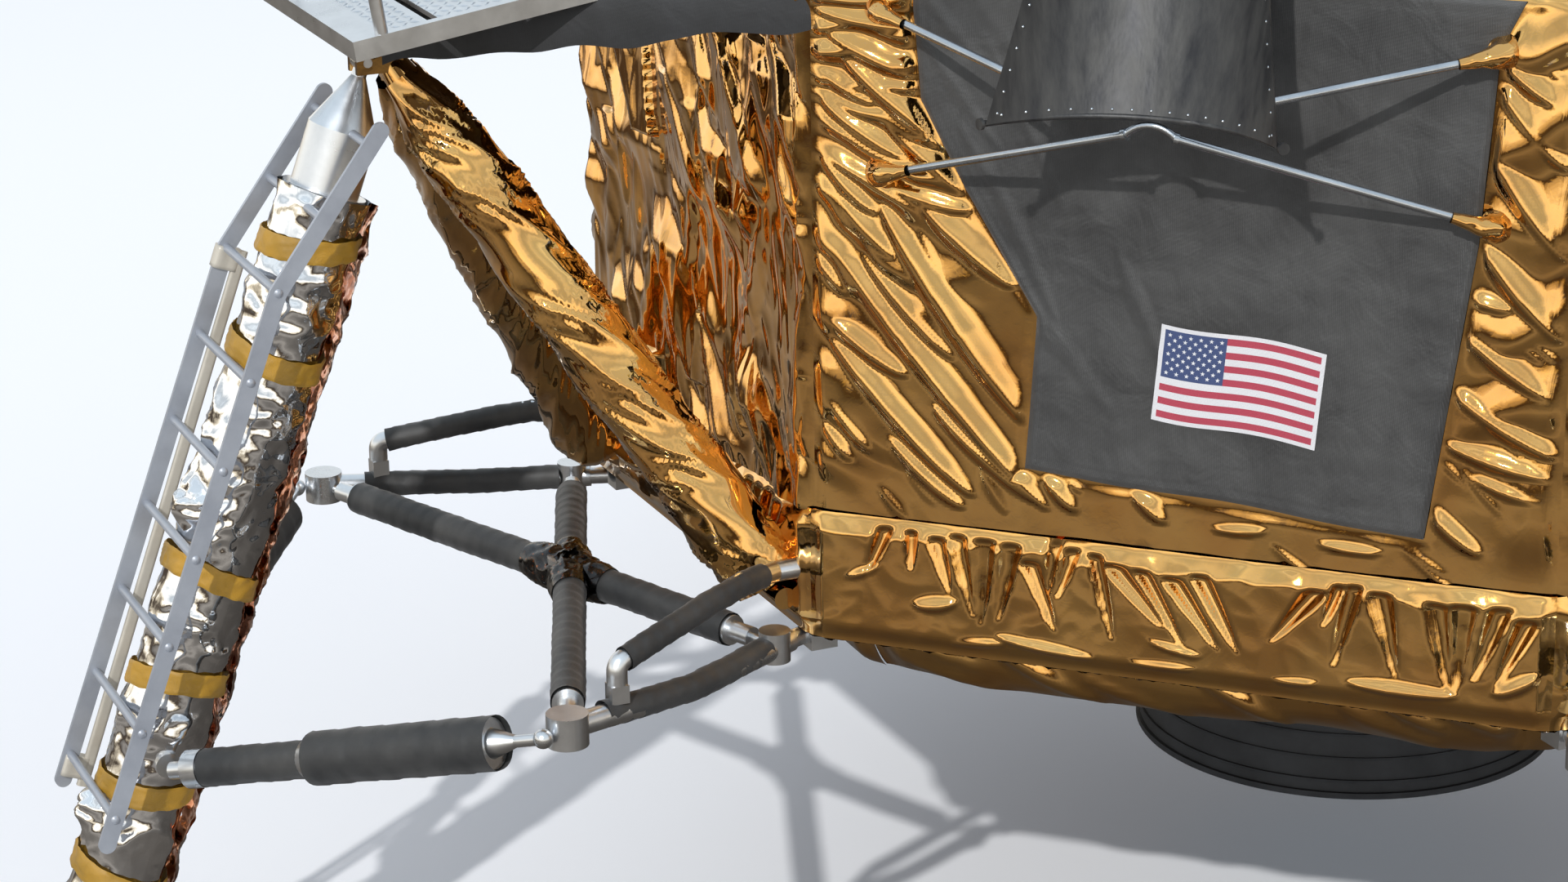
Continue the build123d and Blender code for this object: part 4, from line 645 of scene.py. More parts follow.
def foil_bands():
    """The bottom band: a sloping shelf under its seam, then a drop with gathers and low folds in it."""
    for side in sides:
        step = 0.0065 if side.name in shown_sides else 0.016
        span = side_span(side)
        across, z = np.meshgrid(spread(-span, span, step), spread(floor_z - 0.006, seam_z + 0.004, step))
        seed = 200 + side.index
        run = side.start + side.half + across
        slope = 0.044 + 0.018 * noise(run / 0.11, 0 * run, seed)
        shelf = np.clip((seam_z - z) / slope, 0, 1) ** 0.9
        if side.name == "fore_port":
            table = fore_port_gathers
            low = [(x, y, radians(slant), *rest) for x, y, slant, *rest in fore_port_low_folds]
        else:
            table = gather_table(seed, side.half)
            ranges = (-side.half, side.half), (floor_z + 0.04, seam_z - 0.2)
            low = scatter(seed + 9, *ranges, (0.3, 0.1), radians(-4), 0.2, 0.05, 0.014, 0.8)
        hem = smooth(0, 0.05, z - floor_z)
        edge = smooth(0, 0.03, side.half - np.abs(across))
        stand = 0.006 + 0.024 * shelf * (0.45 + 0.55 * hem) * (0.35 + 0.65 * edge)
        crumple = 0.003 * noise(run / 0.3, z / 0.2, 43) + 0.003 * crinkle(run, z, 0.16, 41, 2, 1.4)
        stand = (stand + crumple * hem) * (1 - 0.85 * gathers(table, across, z))
        stand = stand + edge * hem * leaves(across, z, low)
        points = side_points(side, across, z, band_proud + stand)
        surface(f"foil_band_{side.name}", points, gold_film, "gold_foil")


def frayed_hems():
    """Dark frayed edge that runs round under the band: a ribbon with torn, jittered borders."""
    for side in sides:
        span = side_span(side)
        across, row = np.meshgrid(spread(-span, span, 0.009), np.linspace(0, 1, 4))
        run = side.start + side.half + across
        torn = noise(run / 0.03, row * 0, 77) * 0.005 + noise(run / 0.011, row * 0, 78) * 0.003
        z = floor_z - 0.012 + row * 0.014 + torn * (1 - row)
        lift = band_proud + 0.006 + 0.006 * noise(run / 0.04, row * 2.0, 79) - 0.008 * row
        surface(f"frayed_hem_{side.name}", side_points(side, across, z, lift), torn_film, "gold_foil")


def pan_foil():
    """Film round the sloping pan: long troughs that run aslant, and a wavy lower edge."""
    pan_low, pan_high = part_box("base_pan")
    inset_top, draft = 0.165, 0.095
    narrowing = sqrt(2) - 1
    depth = pan_high.z - pan_low.z
    for side in sides:
        step = 0.010 if side.name in shown_sides else 0.03
        share, row = np.meshgrid(spread(-1, 1, step / side.half), spread(0, 1, step / depth))
        inset = inset_top + draft * row
        across = share * (side.half - inset * narrowing)
        run = side.start + side.half + across
        wavy = noise(run / 0.33, row * 0.4, 91)
        z = floor_z - 0.004 - depth * row - smooth(0.3, 1, row) * (0.042 + 0.014 * wavy)
        ranges = (-side.half, side.half), (pan_low.z, pan_high.z)
        folds = scatter(300 + side.index, *ranges, (0.3, 0.1), radians(-24), 0.42, 0.075, 0.022, 0.7)
        edge = smooth(0, 0.12, 1 - np.abs(share))
        trough = np.sin(pi * np.clip(row / 1.25, 0, 1)) ** 1.3
        bulge = 0.055 * trough * (1 + 0.35 * noise(run / 0.28, row * 1.5, 92))
        lift = 0.006 + (0.25 + 0.75 * edge) * bulge + edge * leaves(across, z, folds)
        across = share * (side.half - (inset - lift) * narrowing)
        points = np.stack([across, -(side.reach - inset + lift), z], axis=-1)
        surface(f"pan_foil_{side.name}", turned(points, side.turn), gold_film, "gold_foil")


def deck_foil():
    """Film over the deck: eight sectors from the middle out to the sides' top edges."""
    for side in sides:
        share, row = np.meshgrid(spread(-1, 1, 0.05), spread(0.02, 1, 0.02))
        flat = np.stack([share * side.half * row, -side.reach * row, 0 * row], axis=-1)
        points = turned(flat, side.turn)
        crumple = crinkle(points[..., 0], points[..., 1], 0.3, 61, 2, 1.6)
        points[..., 2] = deck_z + 0.003 + 0.008 * smooth(0, 0.04, 1 - row) * crumple
        surface(f"deck_foil_{side.name}", points, gold_film, "gold_foil")


foil_sides()
foil_bands()
frayed_hems()
pan_foil()
deck_foil()


# Blankets, covers and patch

def side_spot(side, across, z, off):
    """Points on a side by their place across it, above ground and off it."""
    return turned(np.stack([across, -(side.reach + off), z], axis=-1), side.turn)


def blanket_lift(side, across, z):
    """How far a corner blanket's cloth stands off the side: soft waves, and creases by its left edge."""
    seed = 7 + side.turn
    waves = 0.0045 * noise(across / 0.36, z / 0.22, seed) + 0.0022 * noise(across / 0.15, z / 0.07, seed + 3)
    pull = scatter(seed, (-0.6, -0.1), (2.3, 3.1), (0.12, 0.2), radians(-58), 0.35, 0.06, 0.006, 0.6)
    return blanket_stand + waves + leaves(across, z, pull, 0.0)


def corner_blankets():
    """Charcoal cloth over each corner side, cut to its outline, with its hem turned in and a seam
    sunk along it as a bell curve of the distance from the edge."""
    tall, hem_round, seam_in, seam_width, seam_depth = 1.31, 0.014, 0.026, 0.004, 0.0022
    for side in corner_sides:
        fine = 0.007 if side.name == "fore_port" else 0.016
        t, s = np.meshgrid(spread(0, 1, fine), spread(0, 1, fine), indexing="ij")
        z_left, z_right = (
            edge[0][1] + t * (edge[-1][1] - edge[0][1]) for edge in (blanket_left, blanket_right)
        )
        left, right = edge_at(blanket_left, z_left), edge_at(blanket_right, z_right)
        across, z = left + (right - left) * s, z_left + (z_right - z_left) * s
        z = z - 0.006 * np.sin(pi * s) * (1 - t) * np.sin(9 * s)
        inside = np.minimum(np.minimum(s, 1 - s) * (right - left), np.minimum(t, 1 - t) * tall)
        seam = seam_depth * np.exp(-(((inside - seam_in) / seam_width) ** 2))
        lift = blanket_lift(side, across, z) * (0.62 + 0.38 * smooth(0, hem_round, inside)) - seam
        piece = surface(
            f"corner_blanket_{side.name}", side_spot(side, across, z, lift), charcoal_cloth,
            "charcoal_blanket", replaces=("face_blankets",),
        )


corner_blankets()


def flag_weave():
    """Thirteen stripes and a blue corner inside a white border, as bands of the patch's own UV."""
    material, tree, shader = start_material("flag_weave", Roughness=0.8, Sheen_Weight=0.2)
    place = node(tree, "UVMap")
    x, y = (node(tree, "SeparateXYZ", output=axis, Vector=place) for axis in (0, 1))
    edge_x, edge_y, corner_end = 0.0265, 0.044, 0.405
    stripe = (1 - 2 * edge_y) / 13

    def both(first, second):
        return node(tree, "Math", {"operation": "MULTIPLY"}, i0=first, i1=second)

    def inside(value, low, high):
        above = node(tree, "Math", {"operation": "GREATER_THAN"}, i0=value, i1=low)
        return both(above, node(tree, "Math", {"operation": "LESS_THAN"}, i0=value, i1=high))

    field = both(inside(x, edge_x, 1 - edge_x), inside(y, edge_y, 1 - edge_y))
    corner = both(inside(x, edge_x, corner_end), inside(y, 1 - edge_y - 7 * stripe, 1 - edge_y))
    band = node(tree, "Math", {"operation": "MULTIPLY_ADD"}, i0=y, i1=1 / stripe, i2=-edge_y / stripe)
    odd = node(tree, "Math", {"operation": "MODULO"}, i0=band, i1=2.0)
    red = both(node(tree, "Math", {"operation": "LESS_THAN"}, i0=odd, i1=1.0), field)
    thread = node(tree, "TexNoise", Vector=place, Scale=160, Detail=2)
    white, crimson, blue = (
        node(tree, "ValToRGB", stops=((0.3, deep), (0.7, pale)), Fac=thread)
        for deep, pale in (("#C6C3C2", "#D9D6D5"), ("#9A2C3E", "#B23A4C"), ("#2C3A60", "#3B4A74"))
    )
    stripes = node(tree, "Mix", {"data_type": "RGBA"}, 2, i0=red, i6=white, i7=crimson)
    rows = node(tree, "TexWave", {"bands_direction": "Y"}, "Fac", Vector=place, Scale=30)
    fill(tree, shader, {
        "Base Color": node(tree, "Mix", {"data_type": "RGBA"}, 2, i0=corner, i6=stripes, i7=blue),
        "Normal": node(tree, "Bump", Height=rows, Distance=0.0004),
    })
    return material


def flag():
    """Woven patch with stripes and stars, sewn on the fore port blanket."""
    side, tilt, middle = corner_sides[0], radians(-5.2), (0.160, 2.207)
    wide, tall, border, bow = 0.416, 0.250, 0.011, 0.006
    corner_wide, corner_tall, star_reach, star_waist = 0.1575, 0.1225, 0.0062, 0.4

    def on_blanket(x, y, off):
        """Points of the patch, tilted, bowed by a sine along it and laid on the blanket's own waves."""
        y = y + bow * np.sin(2 * pi * (x / wide + 0.1))
        across = middle[0] + x * cos(tilt) - y * sin(tilt)
        z = middle[1] + x * sin(tilt) + y * cos(tilt)
        return side_spot(side, across, z, blanket_lift(side, across, z) + off)

    x, y = np.meshgrid(spread(-0.5, 0.5, 0.03) * wide, spread(-0.5, 0.5, 0.05) * tall)
    patch = surface(
        "flag_cloth", on_blanket(x, y, 0.0015), flag_weave(), "woven_patch", replaces=("flag_patch",)
    )

    # Fifty small stars, in rows of six and five by turns
    rim = np.arange(10)
    points = np.stack([np.sin(pi * rim / 5), np.cos(pi * rim / 5)], axis=-1) * ([[1.0], [star_waist]] * 5)
    star = np.concatenate([points, [[0, 0]]]) * star_reach
    faces = np.stack([rim, (rim + 1) % 10, 0 * rim + 10], axis=-1)[:, ::-1]
    columns, rows = np.array([(c, r) for r in range(9) for c in range(r % 2, 11, 2)]).T[..., None]
    x = border - wide / 2 + corner_wide * (columns + 1) / 12 + star[:, 0]
    y = tall / 2 - border - corner_tall * (rows + 1) / 10 + star[:, 1]
    shift = (np.arange(len(columns)) * len(star))[:, None, None]
    faces = (faces[None] + shift).reshape(-1, 3)
    polygons("flag_stars", on_blanket(x, y, 0.0021).reshape(-1, 3), faces, white_thread, "woven_patch")


flag()


def outrigger_cloths():
    """Black cloth over each outrigger's upper tubes: over one tube, across, over the other, and
    hanging past both as the share past the tube to the power 1.3."""
    outer, inner, fork, fork_depth = 3.02, 2.10, 2.985, 0.864
    fork_half, fork_rise = 0.704, 0.148
    tip_half, tip_z, roll, droop, tube_share = 0.055, 2.990, 0.022, 0.022, 0.78
    rows, columns = np.meshgrid(spread(0, 1, 0.02), spread(-1, 1, 0.022), indexing="ij")
    out = outer - (outer - inner) * rows
    inwards = (fork - out) / fork_depth
    half = tip_half + fork_half * np.clip(inwards, 0, 1)
    height = tip_z + fork_rise * np.clip(inwards, 0, 1.02)
    flat = np.minimum(np.abs(columns) / tube_share, 1)
    past = np.clip((np.abs(columns) - tube_share) / (1 - tube_share), 0, 1)
    across = np.sign(columns) * (flat * half + roll * np.sin(past * pi / 2))
    for side in leg_sides:
        hang = 0.115 + 0.03 * noise(rows * 6, columns * 2 + side.turn, 31)
        z = height - droop * (1 - flat**4) * smooth(0, 0.3, rows) - hang * past**1.3
        ripple = 0.006 * crinkle(out * 1.2, columns * 0.8, 0.2, 33 + side.turn, 2, 1.6)
        ripple = ripple + 0.004 * noise(out / 0.09, past * 2, 35) * past
        points = turned(np.stack([across, -out, z + ripple * (1 - past)], axis=-1), side.turn)
        piece = surface(
            f"outrigger_cloth_{side.name}", points, black_cloth, "black_blanket",
            replaces=("outrigger_covers",),
        )


outrigger_cloths()


# Legs

strut_top = (0, -3.046, 2.874)
strut_lean = atan2(0.3486, 0.9373)
# How far down the strut the film starts and ends, and the radii of what is wound on it
film_from, film_to = 0.352, 2.42
film_radius, strip_radius, tape_radius, mean_radius = 0.1135, 0.118, 0.124, 0.12
tape_places = (0.496, 0.801, 1.416, 1.718, 2.014, 2.275)
# Lumps of gathered film: distance down the strut, turn round it from its front, size
lump_places = ((1.235, -0.25, 0.055), (2.115, 0.0, 0.060))


def mirrored(points, sign):
    """Points given as across, outwards and up, as places on the forward leg's hand of that sign."""
    return np.array(points) * (sign, -1, 1)


def leg_frame(turn):
    """Strut top and the unit steps down it, in front of it and to its side, turned to a leg."""
    c, s = cos(strut_lean), sin(strut_lean)
    return [turned(np.array(way, float), turn) for way in (strut_top, (0, -s, -c), (0, -c, s), (1, 0, 0))]


def strut_film(side):
    """Silver film round a primary strut: sharp crumples, pulled in under the tape, and a few lumps
    that fall off as a bell curve of the distance from their middle."""
    top, down, front, _ = leg_frame(side.turn)
    step, around = (0.0085, 84) if side.name == "forward" else (0.018, 48)

    def lift(s, angle):
        distance, round_run = s + film_from, angle * mean_radius
        pinch = np.min([np.abs(distance - t) for t in tape_places], axis=0)
        loose = 0.3 + 0.7 * smooth(0.02, 0.11, pinch)
        wrap = crinkle(s, round_run, 0.15, 300 + side.turn, 3, 1.2) - 0.9
        rough = 0.8 + 0.5 * noise(distance / 0.03, round_run / 0.03, 310)
        lumps = 0
        for place, turned_by, size in lump_places:
            round_away = (np.mod(angle - turned_by + pi, 2 * pi) - pi) * mean_radius
            away = np.hypot(distance - place, round_away)
            lumps = lumps + 0.05 * np.exp(-((away / size) ** 2)) * rough
        return 0.002 + loose * (0.017 * np.clip(wrap, 0, None)) + lumps

    ends = [top + down * film_from, top + down * film_to]
    points = sleeve(ends, film_radius, lift, step, around, front)
    surface(f"strut_film_{side.name}", points, silver_film, "silver_wrap", closed=True)


def strut_tapes(side):
    """Bands of amber tape round a primary strut's film, each wound a little askew by a cosine."""
    top, down, front, _ = leg_frame(side.turn)
    half_wide, around = 0.032, 96
    angles = np.linspace(0, 2 * pi, around, endpoint=False)
    for index, place in enumerate(tape_places):
        def lift(s, angle):
            edge = np.minimum(s, 2 * half_wide - s)
            creases = 0.004 * crinkle(angle * 0.13 + 0.4 * s, s * 1.5, 0.05, 330 + index, 2, 1.5)
            waves = 0.004 * noise(angle * 2.5, s / 0.05 + index, 320 + index)
            return 0.004 * smooth(0, 0.006, edge) + waves + creases

        ends = [top + down * (place - half_wide), top + down * (place + half_wide)]
        band = sleeve(ends, tape_radius, lift, 0.006, around, front)
        skew = 0.022 * np.cos(angles + index * 1.7) + 0.004 * noise(angles * 3, angles * 0 + index, 340)
        points = band + skew[None, :, None] * down
        surface(f"strut_tape_{side.name}_{index}", points, amber_tape, "amber_tape", closed=True)


def strut_strip(side):
    """A ragged strip of copper film up the inner side of a primary strut."""
    top, down, front, sideways = leg_frame(side.turn)
    step, around = 0.0102 if side.name == "forward" else 0.0216, 16
    strip_from, strip_to, strip_arc = 0.36, 2.40, (-0.34, 0.42)

    def lift(s, angle):
        return 0.010 + 0.016 * crinkle(s, angle * 0.13, 0.10, 350 + side.turn, 3, 1.4)

    ends = [top + down * strip_from, top + down * strip_to]
    strip = sleeve(ends, strip_radius, lift, step, around, -front, strip_arc)
    rows = np.linspace(0, 1, strip.shape[0])
    ragged = 0.014 * noise(rows * 60, rows * 0, 360)[:, None] * np.linspace(-1, 1, around)
    surface(f"strut_strip_{side.name}", strip + ragged[..., None] * sideways, copper_film, "copper_film")


for side in leg_sides:
    strut_film(side)
    strut_tapes(side)
    strut_strip(side)


# The outrigger's outer tip and a tube's foot on the body: across, outwards and up
outrigger_ends = ((0, 2.974, 2.866), (0.643, 2.185, 1.483))


def outrigger_foil():
    """Film wound round both tubes of each outrigger: broad soft waves and folds that run aslant, and
    at each cinch a neck of the width times 1 - 0.75 exp(-(d / 30 mm)^2) with puckers by it."""
    for side in leg_sides:
        for hand, sign in hands:
            apex, foot = mirrored(outrigger_ends, sign)
            span = np.linalg.norm(foot - apex)
            step, around = (0.0095, 64) if side.name == "forward" else (0.018, 40)
            seed = 400 + side.turn + sign
            random = np.random.default_rng(seed)
            cinches = [
                (0.16 + 0.27 * k + 0.06 * random.uniform(-1, 1), random.uniform(-1, 1)) for k in range(6)
            ]

            def width(s, angle):
                return np.interp(
                    s, (0, 0.06, 0.24, span - 0.12, span - 0.04), (0.036, 0.048, 0.082, 0.084, 0.048)
                )

            def lift(s, angle):
                total = 0.010 * (1 + noise(s / 0.22, angle * 0.5, seed))
                for place, lean in cinches:
                    d = s - place - 0.05 * lean * np.cos(angle)
                    ridge = noise(angle * 3.2 + d * 18 * sign, d * 5, seed + 5)
                    total = total * (1 - 0.75 * np.exp(-((d / 0.03) ** 2)))
                    puckers = np.exp(-((d / 0.07) ** 2)) * np.clip(1 - 2.2 * np.abs(ridge), 0, 1)
                    total = total + 0.014 * puckers
                aslant = noise(angle * 0.9 + s * 4 * sign, s * 1.1, seed + 9)
                return 0.002 + total + 0.011 * np.clip(1 - 1.8 * np.abs(aslant), 0, 1) ** 1.5

            path = turned(np.array([apex + (foot - apex) * 0.03, foot - (foot - apex) * 0.02]), side.turn)
            points = sleeve(path, width, lift, step, around)
            surface(f"outrigger_foil_{side.name}_{hand}", points, gold_film, "gold_foil", closed=True)


outrigger_foil()


def tape_wrap(pitch, seed):
    """Lift of tape wound round a tube: a step of 2.2 mm along a helix of the given pitch, and soft dents."""
    def lift(s, angle):
        turn_share = np.mod(s / pitch + angle / (2 * pi), 1.0)
        return 0.003 + 0.0022 * turn_share + 0.002 * noise(s / 0.09, angle * 1.2, seed)
    return lift


# The truss of a leg, port hand: arm from the body to the lower ball, brace's inner end, and the link's path
arm_in, arm_out = (0.699, 2.126, 1.373), (1.003, 2.916, 1.366)
brace_in = (0.741, 2.234, 1.375)
link_points = ((0.722, 2.222, 1.572), (0.783, 2.338, 1.585), (0.952, 2.760, 1.494))
strut_ball = (1.030, 2.991, 1.362)
cross_share = brace_in[0] / (brace_in[0] + arm_out[0])
cross_out, cross_z = (brace_in[k] + cross_share * (arm_out[k] - brace_in[k]) for k in (1, 2))
crossing = np.array([0, -cross_out, cross_z])


def truss_runs(sign):
    """Each wrapped tube of one hand: name, path, radius and the tape's pitch."""
    start, end = mirrored((arm_in, arm_out), sign)
    way = unit(end - start)
    bare_in, bare_out, knee = 0.15, 0.12, np.array([sign * 0.026, 0, -0.013])
    a, b, c = start + way * bare_in, (start + end) / 2 + knee, end - way * bare_out
    t = np.linspace(0, 1, 13)[:, None]
    easing = 0.0033 * np.exp(-(((t - 0.5) / 0.12) ** 2))
    bent = np.where(t < 0.5, a + (b - a) * 2 * t, b + (c - b) * (2 * t - 1))
    yield "arm", bent - np.array([sign, 0, -0.4]) * easing, 0.0315, 0.05
    for label, far in (("inner_brace", mirrored(brace_in, sign)), ("outer_brace", mirrored(arm_out, -sign))):
        way = unit(crossing - far)
        yield label, np.array([far + way * 0.165, crossing - way * 0.05]), 0.0415, 0.055
    top, down, _, sideways = leg_frame(0)
    near, ball = top + down * 1.925 + sideways * sign * 0.165, mirrored(strut_ball, sign)
    way, long = unit(ball - near), np.linalg.norm(ball - near)
    yield "strut_tube", np.array([near + way * 0.112, near + way * 0.44]), 0.0465, 0.06
    yield "strut_sleeve", np.array([near + way * 0.465, near + way * (long - 0.135)]), 0.0665, 0.075
    a, b, c = mirrored(link_points, sign)
    path = [a * 0.6 + b * 0.4, b + (0, 0, -0.006), b * 0.75 + c * 0.25, c - (c - b) * 0.06]
    yield "link", np.array(path), 0.0285, 0.045


def truss_wraps():
    """Charcoal tape wound round the truss arms, braces, links and secondary struts of each leg, and
    crumpled black film over the braces' crossing that thins out along each arm of it."""
    for side in leg_sides:
        step, around = (0.010, 26) if side.name == "forward" else (0.02, 14)
        for hand, sign in hands:
            for label, path, radius, pitch in truss_runs(sign):
                wound = tape_wrap(pitch, 500 + side.turn)
                points = sleeve(turned(path, side.turn), radius, wound, step, around)
                surface(f"{label}_wrap_{side.name}_{hand}", points, wrap_tape, "strut_wrap", closed=True)
        aims = [mirrored(brace_in, 1), mirrored(arm_out, -1), mirrored(brace_in, -1), mirrored(arm_out, 1)]
        for index, aim in enumerate(aims):
            def lift(s, angle):
                thin = (1 - s / 0.17) ** 0.5
                return 0.004 + 0.014 * thin * crinkle(s, angle * 0.06, 0.07, 520 + index, 3, 1.5)

            way = unit(aim - crossing)
            ends = turned(np.array([crossing - way * 0.01, crossing + way * 0.16]), side.turn)
            points = sleeve(ends, 0.044, lift, step * 0.8, around * 2, short=0.002)
            surface(f"crossing_film_{side.name}_{index}", points, black_film, "black_film", closed=True)


truss_wraps()


def ladder_trim():
    """Round heads at the rungs' ends, and a pale bar with two clamps along the ladder's starboard rail."""
    top, down, front, sideways = leg_frame(0)
    first_rung, rung_pitch, rung_off, rail_lean, half_rung = 0.6015, 0.2428, 0.1284, 0.0019, 0.2405
    pad_off, pad_side, bar_off, bar_side = 0.118, 0.240, 0.085, 0.228
    rungs = np.arange(7)[:, None]
    places = top + down * (first_rung + rung_pitch * rungs) + front * (rung_off + rail_lean * rungs)
    ends = [places - sideways * half_rung, places + sideways * half_rung]
    origins, normals = np.stack(ends, axis=1).reshape(-1, 3), np.tile([-sideways, sideways], (len(rungs), 1))
    polygons("rung_heads", *heads_along(origins, normals, 0.013, 0.007), ladder_grey, "aluminium")

    def crown(s, a):
        return 0.0015 * np.cos(a * 2)

    for label, *reach in (("upper", 0.60, 0.66), ("lower", 2.06, 2.12)):
        pad = [top + down * run + front * pad_off - sideways * pad_side for run in reach]
        shape = sleeve(pad, bar_reach(0.034, 0.022), crown, 0.012, 40, front)
        centre = shape.mean(axis=1, keepdims=True) + 0 * shape
        shape = np.concatenate([centre[:1], shape, centre[-1:]])
        surface(f"bar_clamp_{label}", shape, beige_plate, "beige_bar", closed=True)
    bar = [top + down * run + front * bar_off - sideways * bar_side for run in (0.60, 2.14)]
    shape = sleeve(bar, bar_reach(0.016, 0.008), 0.0, 0.1, 24, front)
    surface("ladder_bar", shape, beige_plate, "beige_bar", closed=True)


ladder_trim()


# Plume deflectors: heights from the lower edge up, half widths, distances off the side, trough depths
shield_heights, shield_halves = (2.933, 3.228, 4.080), (0.348, 0.292, 0.214)
shield_offs, shield_depths = (0.470, 0.350, 0.120), (0.176, 0.160, 0.128)
# Their tubes: height of the foot on the body, and the far end's place across, off the side and up
shield_tubes = ((3.085, (0.150, 0.382, 2.973)), (2.666, (0.062, 0.290, 2.889)))


def shield_spot(across, z):
    """A point of a deflector's face: an arc across with the trough's depth, on its leaning line."""
    half, off, depth = (
        np.interp(z, shield_heights, values) for values in (shield_halves, shield_offs, shield_depths)
    )
    bend = (half**2 + depth**2) / (2 * depth)
    out = corner_reach + off - depth + bend - np.sqrt(bend**2 - across**2)
    return np.stack([across, -out, z], axis=-1)


def boot_films(side):
    """Gold film gathered round the feet of a deflector's four tubes, thinner along each tube."""
    def width(s, angle):
        return np.interp(s, (0, 0.04, 0.09, 0.148), (0.040, 0.026, 0.016, 0.0110))

    foot_across, collar = 0.773, 0.046
    boots = [(sign, *tube) for sign in (-1, 1) for tube in shield_tubes]
    for index, (sign, height, (far_across, far_off, far_z)) in enumerate(boots):
        foot, bend = mirrored([(foot_across, corner_reach + out, height) for out in (0, collar)], sign)
        way = unit(mirrored((far_across, corner_reach + far_off, far_z), sign) - bend)
        lean_in = foot * 0.35 + bend * 0.65 + way * 0.006
        path = np.array([foot, lean_in, bend + way * 0.026, bend + way * 0.06, bend + way * 0.105])

        def lift(s, angle):
            return 0.001 + 0.007 * (1 - s / 0.16) * crinkle(s, angle * 0.03, 0.05, 620 + index, 2, 1.4)

        points = sleeve(turned(path, side.turn), width, lift, 0.006, 30)
        surface(f"boot_film_{side.name}_{index}", points, gold_film, "gold_foil", closed=True)


def deflector_rivets():
    """Small heads in rows up both side edges and along the lower edge of each deflector."""
    edge_in, row_z, row_count = 0.016, 2.950, 15
    rows = np.arange(2.955, 4.06, 0.048)
    edge = np.interp(rows, shield_heights, shield_halves) - edge_in
    across = np.concatenate([edge, -edge, np.linspace(-0.32, 0.32, row_count)])
    z = np.concatenate([rows, rows, np.full(row_count, row_z)])
    here = shield_spot(across, z)
    normal = np.cross(shield_spot(across + 0.002, z) - here, shield_spot(across, z + 0.002) - here)
    for side in corner_sides:
        heads = heads_along(turned(here, side.turn), turned(normal, side.turn), 0.0042, 0.0022)
        polygons(f"deflector_rivets_{side.name}", *heads, brushed_aluminium, "heat_shield")
        boot_films(side)


deflector_rivets()


# Porch and ascent stage

def porch_treads():
    """Raised bars in a herringbone on each tread of the porch, behind a plain front edge."""
    front, level, rise, back, treads = 3.200, 3.023, 0.1416, 2.110, 5
    half_wide, column_step, first_row, row_step, plain_edge = 0.368, 0.032, 0.022, 0.026, 0.095
    bar_long, bar_wide, bar_high, proud = 0.014, 0.0032, 0.0026, 0.0002
    slope = atan2(rise, 1)
    pitch = (front - back) / cos(slope) / treads
    columns = np.arange(-half_wide, half_wide + 0.002, column_step)
    rows = np.arange(first_row, pitch - 0.02, row_step)
    counts = (np.arange(len(v)) for v in (columns, rows, range(treads)))
    column, row, tread = (v.ravel() for v in np.meshgrid(*counts, indexing="ij"))
    x, run = columns[column], rows[row] + pitch * tread
    kept = run > plain_edge
    x, run, sign = x[kept], run[kept], np.where((row + column) % 2, 1.0, -1.0)[kept]
    east, inward = np.array([1.0, 0, 0]), np.array([0, cos(slope), sin(slope)])
    up = np.cross(east, inward)
    long = (east + sign[:, None] * inward) / sqrt(2)
    origins = np.array([0, -front, level]) + x[:, None] * east + run[:, None] * inward + proud * up
    places = placings(long * bar_long, np.cross(up, long) * bar_wide, 0 * long + up * bar_high, origins)
    polygons("porch_tread_bars", *repeated(dome(1, 1, 2), places), satin_aluminium, "aluminium")


porch_treads()


def rivet_rows(name, lines, normals, finish, slot):
    """Low round heads in rows, about 55 mm apart, along straight lines between pairs of points."""
    origins, outward = [], []
    for (start, end), normal in zip(lines, normals):
        start, end = np.array(start, float), np.array(end, float)
        count = max(2, int(np.linalg.norm(end - start) / 0.055))
        origins.append(start + (end - start) * (np.arange(count) + 0.5)[:, None] / count)
        outward.append(np.tile(np.array(normal, float), (count, 1)))
    heads = heads_along(np.concatenate(origins), np.concatenate(outward), 0.006, 0.003)
    polygons(name, *heads, finish, slot)


def bay_rivets():
    """Rows of heads on the aft bay's sides, by their front and back edges, and down its back panels."""
    low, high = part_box("aft_bay")
    bay_front, chamfer, inset, panel_edge = 0.800, 0.190, 0.035, 0.37
    bottom, top = low.z + chamfer + inset, high.z - chamfer - inset
    spots = []
    for x, way in ((low.x, -1), (high.x, 1)):
        spots += [(x, y, (way, 0, 0)) for y in (bay_front + inset, high.y - inset)]
    spots += [(x, high.y, (0, 1, 0)) for x in (low.x + inset, -panel_edge, panel_edge, high.x - inset)]
    lines = [((x, y, bottom), (x, y, top)) for x, y, _ in spots]
    rivet_rows("aft_bay_rivets", lines, [normal for _, _, normal in spots], black_paint, "bay_skin")


